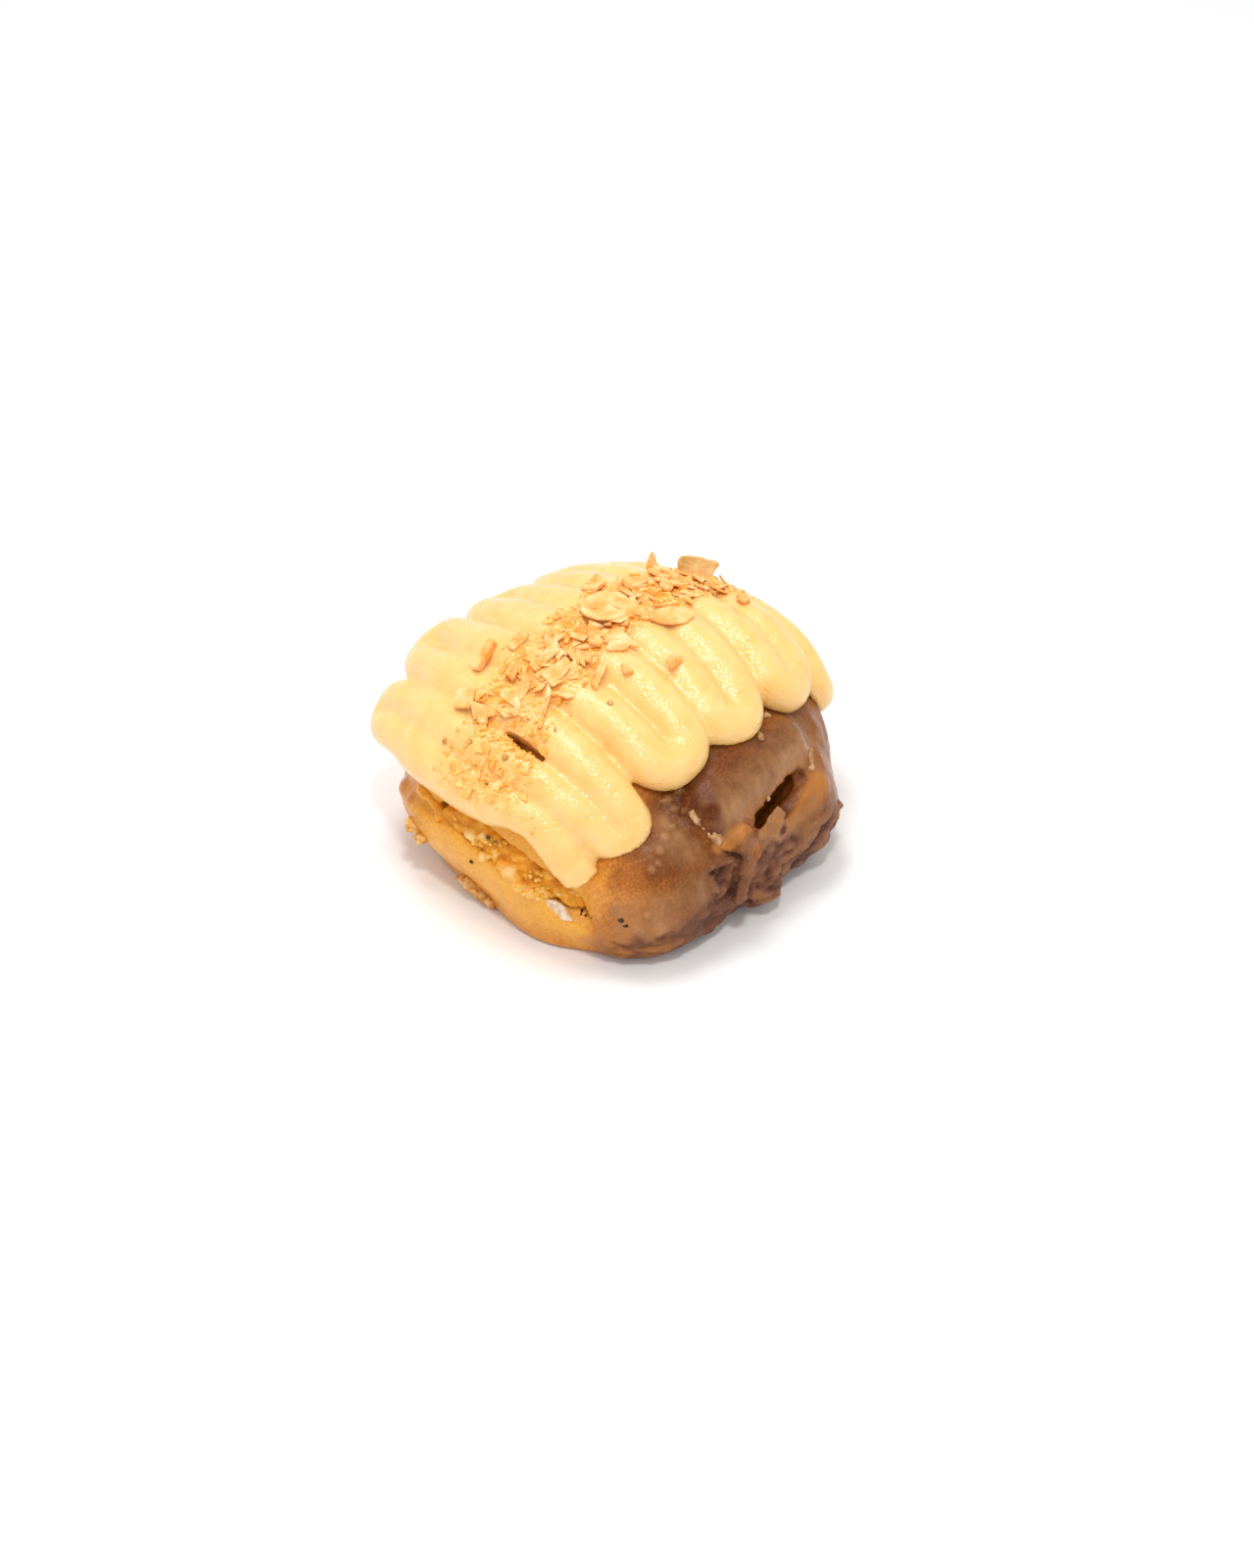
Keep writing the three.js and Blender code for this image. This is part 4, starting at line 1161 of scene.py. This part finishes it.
# Each further chip: x, y, length, width, turn, tilt about its length, and how far it is raised.
CHIPS = [
    (9.3, 17.4, 8, 5, 0.5, 0.1, 0.05), (25.8, 12.6, 8.5, 2.2, 1.2, 0.35, 0.3),
    (-9.8, -0.3, 7.5, 3, 0.9, 0.35, 0.2), (-1.8, -16.8, 4.4, 3.6, 0.3, 0.35, 0.15),
    (-12, -11.9, 3.8, 2.4, 1.4, 0.35, 0.1), (-16.9, -8.4, 10, 2.4, 0.55, 0.2, 0.15),
    (29.4, -1.1, 3.4, 2.4, 0.2, 0.35, 0.1), (32, -8, 4.2, 3.6, 0.4, 0.1, 0.1),
    (-38.2, 6.3, 3.6, 2.6, 0.9, 0.3, 0.15), (-19.6, 13.5, 7.5, 3, 0.2, 0.3, 0.1),
    (-15.6, 8.4, 8, 2.6, 0.9, 0.35, 0.2), (-20.5, 4, 9.5, 3, 0.1, 0.2, 0.15),
    (-26.8, 8.5, 5.5, 2.8, 0.4, 0.3, 0.1), (-30.1, -4.9, 12, 1.5, 0.55, 0.1, 0.05),
    (14.6, 9.5, 7, 4.4, -0.4, 0.2, 0.1), (19.5, 4.5, 6, 4, 0.8, 0.3, 0.15),
    (4.5, -1.8, 6.5, 2.8, -0.9, 0.35, 0.15), (-8, -6, 5.6, 2.4, -0.7, 0.35, 0.15),
    (22.5, 9.8, 6, 3.2, 1.5, 0.35, 0.15), (31.5, 5.2, 5.4, 3.4, 0.6, 0.2, 0.1),
]


def joined(parts):
    """One set of points and faces from several."""
    points, faces, base = [], [], 0
    for some_points, some_faces in parts:
        points.append(some_points)
        faces += [tuple(base + v for v in face) for face in some_faces]
        base += len(some_points)
    return np.concatenate(points), faces


chip_parts = []
for seed, (x, y, length, width, turn, tilt, raised) in enumerate(CHIPS):
    rolls = np.random.default_rng(60 + seed)
    across, half = width / 2, length / 2
    corners = [
        (-half, -across * rolls.uniform(0.3, 1)), (half * rolls.uniform(0.4, 1), -across),
        (half, across * rolls.uniform(0.1, 1)), (-half * rolls.uniform(0.5, 1), across),
    ]
    points, faces = flake(corners, rolls.uniform(0.8, 1.2), rolls.uniform(0.005, 0.03), 80 + seed)
    chip_parts.append((lay(points, x, y, (tilt, 0), turn, raised=raised), faces))

# Thin broken flakes between the chips, laid at random along the band.
FLAKE_COUNT = 110
SPIKE = [(-1.6, -2.6), (1.8, -2.6), (0.9, 0.2), (-0.3, 2.4), (-0.9, 0.4)]
rolls = np.random.default_rng(202)
while len(chip_parts) < len(CHIPS) + FLAKE_COUNT:
    x, y = rolls.uniform(-38, 40), rolls.uniform(-10, 18)
    if rolls.random() > almond_band(x, y) ** 2:
        continue
    half = rolls.uniform(1.8, 4.6)
    angles = (np.arange(4) + rolls.uniform(-0.4, 0.4, 4)) * math.pi / 2
    reach = half * rolls.uniform(0.6, 1.2, 4)
    corners = np.stack([reach * np.cos(angles), rolls.uniform(0.35, 0.7) * reach * np.sin(angles)], -1)
    points, faces = flake(
        corners, rolls.uniform(0.3, 0.55), rolls.uniform(0.0, 0.05), 300 + len(chip_parts), 1.9, 0.1,
        rounding=0.03,
    )
    tilt = (rolls.uniform(-0.5, 0.5), rolls.uniform(-0.3, 0.3))
    points = lay(points, x, y, tilt, rolls.uniform(0, 2 * math.pi), raised=rolls.uniform(-0.3, 0.5))
    chip_parts.append((points, faces))
points, faces = flake(SPIKE, 0.8, 0.0, 299)
chip_parts.append((lay(points, 26.8, 15.4, (1.4, 0.15), -0.82, raised=0.3, upright=True), faces))

new_piece("sliced_almonds", *joined(chip_parts), almond_finish, "almond", smooth=False)

# ---------------------------------------------------------------------------------------------
# The small almond bits and dust: what broke off the slices, scattered over the band.


def scatter_tree(name):
    """Geometry Nodes: scatters small solids over a surface where its named weight is high."""
    tree = bpy.data.node_groups.new(name, "GeometryNodeTree")
    sockets = {}
    tree.interface.new_socket("Geometry", in_out="INPUT", socket_type="NodeSocketGeometry")
    kinds = {
        "Weight": "String", "Spacing": "Float", "Density": "Float", "Seed": "Int",
        "Smallest": "Float", "Largest": "Float", "Tilt": "Float", "Variants": "Collection",
        "Material": "Material",
    }
    for key, kind in kinds.items():
        socket = tree.interface.new_socket(key, in_out="INPUT", socket_type="NodeSocket" + kind)
        sockets[key] = socket.identifier
    tree.interface.new_socket("Geometry", in_out="OUTPUT", socket_type="NodeSocketGeometry")
    start = add_node(tree, "NodeGroupInput").outputs
    weight = add_node(
        tree, "GeometryNodeInputNamedAttribute", {"Name": start["Weight"]}, data_type="FLOAT"
    )
    spots = add_node(tree, "GeometryNodeDistributePointsOnFaces", distribute_method="POISSON")
    for key, value in {
        "Mesh": start["Geometry"], "Distance Min": start["Spacing"], "Density Max": start["Density"],
        "Density Factor": weight.outputs["Attribute"], "Seed": start["Seed"],
    }.items():
        tree.links.new(value, spots.inputs[key])
    shapes = add_node(
        tree, "GeometryNodeCollectionInfo",
        {"Collection": start["Variants"], "Separate Children": True, "Reset Children": True},
    )
    size = add_node(
        tree, "FunctionNodeRandomValue", {2: start["Smallest"], 3: start["Largest"], 8: start["Seed"]},
        data_type="FLOAT",
    )
    placed = add_node(
        tree, "GeometryNodeInstanceOnPoints",
        {"Points": spots.outputs["Points"], "Instance": shapes.outputs[0], "Pick Instance": True,
         "Rotation": spots.outputs["Rotation"], "Scale": size.outputs[1]},
    )
    backward = add_node(tree, "ShaderNodeMath", {0: start["Tilt"], 1: -1.0}, operation="MULTIPLY")
    lowest = add_node(
        tree, "ShaderNodeCombineXYZ", {"X": backward.outputs[0], "Y": backward.outputs[0], "Z": 0.0}
    )
    highest = add_node(
        tree, "ShaderNodeCombineXYZ", {"X": start["Tilt"], "Y": start["Tilt"], "Z": 2 * math.pi}
    )
    turn = add_node(
        tree, "FunctionNodeRandomValue", {0: lowest.outputs[0], 1: highest.outputs[0], 8: start["Seed"]},
        data_type="FLOAT_VECTOR",
    )
    turned_about = add_node(
        tree, "GeometryNodeRotateInstances", {"Instances": placed.outputs[0], "Rotation": turn.outputs[0]}
    )
    real = add_node(tree, "GeometryNodeRealizeInstances", {"Geometry": turned_about.outputs[0]})
    done = add_node(
        tree, "GeometryNodeSetMaterial", {"Geometry": real.outputs[0], "Material": start["Material"]}
    )
    add_node(tree, "NodeGroupOutput", {"Geometry": done.outputs[0]})
    return tree, sockets


def variants(name, shapes):
    """A hidden collection of small shapes, in metres for a size of one millimetre."""
    group = bpy.data.collections.new(name)
    for k, (points, faces) in enumerate(shapes):
        mesh = bpy.data.meshes.new(f"{name}_{k}")
        mesh.from_pydata((points * MM).tolist(), [], faces)
        group.objects.link(bpy.data.objects.new(f"{name}_{k}", mesh))
    return group


def scattered(name, surface, shapes, material, settings):
    """A piece of many small solids scattered on another piece."""
    tree, sockets = scatter_tree(name + "_scatter")
    group = variants(name + "_shape", shapes)
    settings = {**settings, "Variants": group, "Material": material}
    made = run_nodes(surface, tree, sockets, settings)
    for shape in list(group.objects):
        bpy.data.objects.remove(shape)
    bpy.data.collections.remove(group)
    made.name = name
    made.shade_flat()
    piece = bpy.data.objects.new(name, made)
    bpy.context.scene.collection.objects.link(piece)
    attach(piece, "root")
    return piece


def splinter(seed):
    """A small chip one unit long with six corners and a flat back."""
    rolls = np.random.default_rng(seed)
    a = np.sort(rolls.uniform(0, 2 * math.pi, 3) / 3 + np.arange(3) * 2 * math.pi / 3)
    ring = np.stack([0.5 * np.cos(a), rolls.uniform(0.3, 0.5) * np.sin(a)], -1)
    low = [(x, y, -0.1) for x, y in ring]
    high = [(x * 0.9, y * 0.85, rolls.uniform(0.14, 0.3)) for x, y in ring]
    faces = [(2, 1, 0), (3, 4, 5)] + [(k, (k + 1) % 3, 3 + (k + 1) % 3, 3 + k) for k in range(3)]
    return np.array(low + high), faces


def crumb(seed, flatness=0.8):
    """A rough lump one unit across, from a twelve-cornered ball."""
    rolls = np.random.default_rng(seed)
    g = (1 + 5**0.5) / 2
    corners = [(0, a, b * g) for a in (-1, 1) for b in (-1, 1)]
    corners += [(a, b * g, 0) for a in (-1, 1) for b in (-1, 1)]
    corners += [(b * g, 0, a) for a in (-1, 1) for b in (-1, 1)]
    corners = np.array(corners, float) / math.hypot(1, g)
    faces = []
    for i in range(12):
        for j in range(i + 1, 12):
            for k in range(j + 1, 12):
                sides = [corners[i] - corners[j], corners[j] - corners[k], corners[k] - corners[i]]
                if max(np.linalg.norm(s) for s in sides) < 1.2:
                    outward = np.cross(corners[j] - corners[i], corners[k] - corners[i]) @ corners[i]
                    faces.append((i, j, k) if outward > 0 else (i, k, j))
    points = corners * 0.5 * rolls.uniform(0.7, 1.15, (12, 1))
    return points * np.array([1, 1, flatness]), faces


scattered(
    "almond_bits", cream, [splinter(100 + k) for k in range(8)], crumb_finish,
    {"Weight": "almond_weight", "Spacing": 1.05 * MM, "Density": 450000.0, "Seed": 5,
     "Smallest": 1.0, "Largest": 3.4, "Tilt": 0.45},
)
scattered(
    "almond_dust", cream, [crumb(120 + k) for k in range(6)], crumb_finish,
    {"Weight": "almond_weight", "Spacing": 0.45 * MM, "Density": 2000000.0, "Seed": 9,
     "Smallest": 0.35, "Largest": 1.1, "Tilt": 0.6},
)

# ---------------------------------------------------------------------------------------------
# Crumbs and smears on the bun: pale dried almond paste beside the crease, loose grains of filling
# and burnt specks on the end face, a fallen flake, lumps of dough squeezed out under the outer
# band and a drip of glaze.

CRUMB_STEP = 0.3


def on_skin(place, surface, proud=0.0):
    """The nearest point of a surface, moved out along its normal."""
    point, normal = surface.find_nearest(Vector(place))[:2]
    return np.array(point) + proud * np.array(normal)


def rough_lump(balls, seed, ragged=0.25, blend=0.4):
    """Points and faces of a crumbly lump made of joined balls, given as (centre, half sizes)."""
    centres = np.array([centre for centre, _ in balls])
    halves = np.array([np.broadcast_to(half, 3) for _, half in balls])
    low = (centres - halves).min(0) - 1.2
    high = (centres + halves).max(0) + 1.2
    axes = [np.arange(a, b, CRUMB_STEP) for a, b in zip(low, high)]
    x, y, z = np.meshgrid(*axes, indexing="ij")
    field = np.full(x.shape, 9.0)
    for centre, half in zip(centres, halves):
        field = smooth_min(field, ellipsoid_distance(x, y, z, centre, half), blend)
    places = np.stack([x, y, z], -1).reshape(-1, 3)
    field += ragged * soft_noise(places, 0.8, seed).reshape(x.shape)
    return skin_of(field, low, CRUMB_STEP)


def smear(places, widths, count, seed, surface=None, proud=0.2):
    """Balls strewn along a line of places on the dough, each with its own size."""
    rolls = np.random.default_rng(seed)
    along = np.sort(rolls.uniform(0, len(places) - 1, count))
    balls = []
    for u in along:
        k = min(int(u), len(places) - 2)
        middle = np.array(places[k]) + (u - k) * (np.array(places[k + 1]) - np.array(places[k]))
        width = widths[k] + (u - k) * (widths[k + 1] - widths[k])
        spot = on_skin(middle + rolls.normal(0, 0.35 * width, 3), surface or dough_tree, proud)
        balls.append((spot, width * rolls.uniform(0.35, 0.75, 3)))
    return balls


def crumb_material(name, colours, roughness, see_through=0.1):
    """A crumbly stuff in three tones that follow its bump: the first is painted shade in its
    hollows, the last is painted light on its raised grains.
    """
    material, tree, shader = new_material(name)
    where = add_node(tree, "ShaderNodeTexCoord").outputs["Object"]
    patch = add_node(tree, "ShaderNodeTexNoise", {"Vector": where, "Scale": repeats(1.43), "Detail": 4})
    ramp = add_node(tree, "ShaderNodeValToRGB", {"Fac": patch.outputs["Fac"]})
    # The tones follow the bump: painted shade in its hollows, painted light on its raised grains.
    colour = set_ramp(ramp, list(zip((0.32, 0.5, 0.68), colours)))
    tree.links.new(colour, shader.inputs["Base Color"])
    bump = add_node(
        tree, "ShaderNodeBump", {"Height": patch.outputs["Fac"], "Strength": 0.4, "Distance": 0.4 * MM}
    )
    tree.links.new(bump.outputs["Normal"], shader.inputs["Normal"])
    shader.inputs["Roughness"].default_value = roughness
    shader.inputs["Specular IOR Level"].default_value = 0.25
    shader.inputs["Subsurface Weight"].default_value = see_through
    shader.inputs["Subsurface Radius"].default_value = (1.0, 0.6, 0.3)
    shader.inputs["Subsurface Scale"].default_value = 1.0 * MM
    return material


pale_parts = [
    rough_lump(smear(
        [(-16.6, -37.3, 33.0), (-16.9, -39.0, 31.2), (-16.4, -41.2, 29.0), (-15.2, -42.9, 27.0)],
        [0.8, 0.7, 1.0, 1.2], 80, 401, proud=0.1), 402, 0.3),
    rough_lump(smear([(21.0, -39.4, 29.9), (19.6, -40.8, 29.2), (17.9, -42.1, 27.8)],
                     [0.9, 0.6, 0.8], 26, 403, proud=0.1), 404, 0.25),
    rough_lump(smear([(7.8, -34.4, 39.4), (7.2, -35.7, 38.0)], [0.9, 0.6], 8, 405), 406, 0.15),
    rough_lump(smear([(15.6, -30.1, 37.9), (14.4, -30.6, 38.2)], [0.9, 0.7], 6, 407), 408, 0.15),
    rough_lump(
        smear([(1.9, -42.3, 29.1), (2.6, -41.9, 29.6)], [0.8, 0.6], 4, 409, proud=0.2), 410, 0.05),
    rough_lump(smear([(-41.6, 24.5, 25.8), (-41.8, 23.4, 26.4)], [1.1, 1.0], 8, 415), 416, 0.3),
    rough_lump(
        smear([(-43.8, 19.6, 28.4), (-44.8, 15.4, 28.6)], [1.4, 1.4], 12, 417, cream_tree, 0.1),
        418, 0.3),
]
new_piece(
    "pale_paste_crumbs", *joined(pale_parts),
    crumb_material("dried_almond_paste", ("#94683F", "#AF8256", "#C9A274"), 0.7, 0.0), "filling",
)

scattered(
    "filling_grains", filling, [crumb(140 + k, 0.9) for k in range(6)],
    crumb_material("grains_of_paste", ("#E49A2C", "#F2B854", "#F8D49A"), 0.35, 0.5),
    {"Weight": "shows", "Spacing": 1.0 * MM, "Density": 700000.0, "Seed": 13,
     "Smallest": 0.6, "Largest": 1.9, "Tilt": 0.6},
)

# The pale flake that fell on the smooth band of the end face.
FALLEN = [(-4.3, -0.3), (-2.0, -1.5), (2.2, -1.3), (3.9, 0.3), (1.6, 0.4), (0.6, 1.3), (-2.6, 0.9)]
fallen_along = np.array([0.22, -0.86, -0.46])
fallen_out = np.array([-0.9, -0.3, 0.2])
fallen_out = fallen_out - (fallen_out @ fallen_along) * fallen_along
fallen_out /= np.linalg.norm(fallen_out)
fallen_points, fallen_faces = flake(FALLEN, 0.8, 0.03, 298)
axes = np.stack([fallen_along, np.cross(fallen_out, fallen_along), fallen_out])
place = dough_tree.find_nearest(Vector((-43.6, -22.4, 13.0)))[0]
fallen_points = fallen_points @ axes + np.array(place) + 0.2 * fallen_out
new_piece(
    "fallen_almond_flake", fallen_points, fallen_faces,
    crumb_material("raw_blanched_almond", ("#D2B08A", "#E4CCAE", "#F2E4D0"), 0.5), "almond",
    smooth=False,
)

BURNT = [
    ([(-48.9, 1.3, 16.6), (-48.9, 0.8, 16.4)], 0.7, 3),
    ([(-42.7, -20.5, 16.6), (-42.4, -22.0, 15.8)], 0.5, 5),
    ([(-41.2, -24.5, 14.3), (-41.0, -25.9, 12.4), (-41.6, -27.0, 13.6)], 0.65, 8),
    ([(-42.2, -30.6, 14.4), (-42.0, -30.0, 13.4)], 0.5, 3),
    ([(-40.0, -36.6, 16.2), (-40.0, -37.5, 15.0), (-39.2, -38.6, 14.6)], 0.6, 8),
]
burnt_parts = [
    rough_lump(smear(line, [width] * len(line), count, 430 + k, proud=0.0), 440 + k, 0.3, 0.1)
    for k, (line, width, count) in enumerate(BURNT)
]
new_piece(
    "burnt_specks", *joined(burnt_parts),
    crumb_material("burnt_crumb", ("#20120A", "#3A2414", "#5C3E24"), 0.7, 0.0), "dough",
)

# Toasted specks and seeds of vanilla that sit on the cream: x, y and size.
SPECKS = [
    (-42.7, -4.6, 1.5), (-47.3, -3.5, 0.9), (-43.3, 5.5, 1.3), (-44.7, 12.1, 1.1), (-45.5, 1.5, 0.9),
    (-21.0, -16.0, 1.3), (-26.6, 30.9, 0.5), (-36.7, -27.9, 0.4), (-2.7, 16.4, 0.6), (-36.4, 15.7, 1.2),
    (-21.4, 24.1, 0.4), (-33.1, -11.0, 0.9), (-15.4, -2.2, 1.2), (4.0, -24.0, 0.4), (20.0, -20.0, 0.4),
]
speck_parts = []
for k, (x, y, size) in enumerate(SPECKS):
    hit = cream_tree.ray_cast(Vector((x, y, 90)), Vector((0, 0, -1)))[0]
    speck_parts.append(rough_lump([((x, y, hit.z + 0.1 * size), 0.5 * size)], 460 + k, 0.25))
new_piece(
    "toasted_specks", *joined(speck_parts),
    crumb_material("toasted_almond_skin", ("#A06C2C", "#C8964C", "#DDB878"), 0.6, 0.0), "almond",
)

squeezed_parts = [
    rough_lump(smear([(-45.5, 22.5, 14.5), (-47.6, 17.5, 13.0)], [2.6, 2.2], 8, 441, proud=0.4), 442, 0.3),
    rough_lump(smear([(-43.8, 10.0, 2.6), (-44.4, 5.0, 1.8), (-44.6, 0.0, 1.6)], [2.2, 2.8, 1.8], 12, 443,
                     proud=0.6), 444, 0.3),
]
squeezed_points, squeezed_faces = joined(squeezed_parts)
squeezed_points[:, 2] = np.maximum(squeezed_points[:, 2], 0)
new_piece(
    "squeezed_dough_lumps", squeezed_points, squeezed_faces,
    crumb_material("squeezed_out_dough", ("#BC7632", "#E0A658", "#EEC88A"), 0.45), "dough",
)

drip_line = [(-43.4, 21.4, 24.4), (-44.6, 18.0, 23.4), (-45.6, 14.4, 22.6), (-45.9, 12.3, 21.9)]
drip_balls = smear(drip_line, [0.9, 1.0, 1.1, 1.5], 30, 451, proud=0.1)
drip_balls.append((on_skin(drip_line[-1], dough_tree, 0.4), (1.0, 1.3, 1.1)))
new_piece(
    "glaze_drip", *rough_lump(drip_balls, 452, 0.04, 0.9),
    crumb_material("set_egg_glaze", ("#DE8C1A", "#EBA22C", "#F0B040"), 0.16, 0.4), "filling",
)

# ---------------------------------------------------------------------------------------------
# The table top, the soft light of a studio with its main light high on the left, and the
# camera, which looks down on the corner between the open fold and the ribbon's cut tip.

VIEW_ELEVATION = math.radians(38)
VIEW_AZIMUTH = math.radians(-47)
VIEW_DISTANCE = 0.7
FRAME_HEIGHT = 1600
SCALE_AT_ORIGIN = 4300.0
SENSOR = 36.0
SHIFT_RIGHT = 0.0031
SHIFT_UP = 0.0257


def pale_floor_material():
    """Matt white laminate: bright, with no shine."""
    material, tree, shader = new_material("matt_white_laminate")
    shader.inputs["Base Color"].default_value = linear("#F4F4F4")
    shader.inputs["Roughness"].default_value = 0.9
    shader.inputs["Specular IOR Level"].default_value = 0.1
    return material


floor_mesh = bpy.data.meshes.new("floor")
FLOOR_HALF = 3.0
floor_corners = [(-FLOOR_HALF, -FLOOR_HALF), (FLOOR_HALF, -FLOOR_HALF)]
floor_corners += [(FLOOR_HALF, FLOOR_HALF), (-FLOOR_HALF, FLOOR_HALF)]
floor_mesh.from_pydata([(x, y, -0.0001) for x, y in floor_corners], [], [(0, 1, 2, 3)])
floor_mesh.materials.append(pale_floor_material())
floor = bpy.data.objects.new("floor", floor_mesh)
bpy.context.scene.collection.objects.link(floor)

world = bpy.data.worlds.new("studio")
bpy.context.scene.world = world
world.use_nodes = True
world.node_tree.nodes["Background"].inputs["Color"].default_value = (1, 1, 1, 1)
world.node_tree.nodes["Background"].inputs["Strength"].default_value = 0.8

to_camera = Vector((
    math.sin(VIEW_AZIMUTH) * math.cos(VIEW_ELEVATION),
    -math.cos(VIEW_AZIMUTH) * math.cos(VIEW_ELEVATION),
    math.sin(VIEW_ELEVATION),
))
to_right = Vector((math.cos(VIEW_AZIMUTH), math.sin(VIEW_AZIMUTH), 0))
to_back = Vector((-math.sin(VIEW_AZIMUTH), math.cos(VIEW_AZIMUTH), 0))


def add_light(name, place, size, power):
    data = bpy.data.lights.new(name, "AREA")
    data.size = size
    data.energy = power
    lamp = bpy.data.objects.new(name, data)
    lamp.location = place
    lamp.rotation_euler = (-place).to_track_quat("-Z", "Y").to_euler()
    bpy.context.scene.collection.objects.link(lamp)


add_light("overhead", -to_right * 0.12 + to_back * 0.1 + Vector((0, 0, 0.9)), 0.3, 3.1)
add_light("front_softbox", to_right * 0.04 - to_back * 0.4 + Vector((0, 0, 0.8)), 0.09, 2.0)

camera_data = bpy.data.cameras.new("camera")
camera_data.sensor_width = SENSOR
camera_data.lens = SCALE_AT_ORIGIN * VIEW_DISTANCE / FRAME_HEIGHT * SENSOR
camera_data.shift_x = SHIFT_RIGHT
camera_data.shift_y = SHIFT_UP
camera_data.clip_start = 0.01
camera = bpy.data.objects.new("camera", camera_data)
camera.location = to_camera * VIEW_DISTANCE
camera.rotation_euler = (-to_camera).to_track_quat("-Z", "Y").to_euler()
bpy.context.scene.collection.objects.link(camera)
bpy.context.scene.camera = camera
bpy.context.scene.view_settings.view_transform = "Standard"
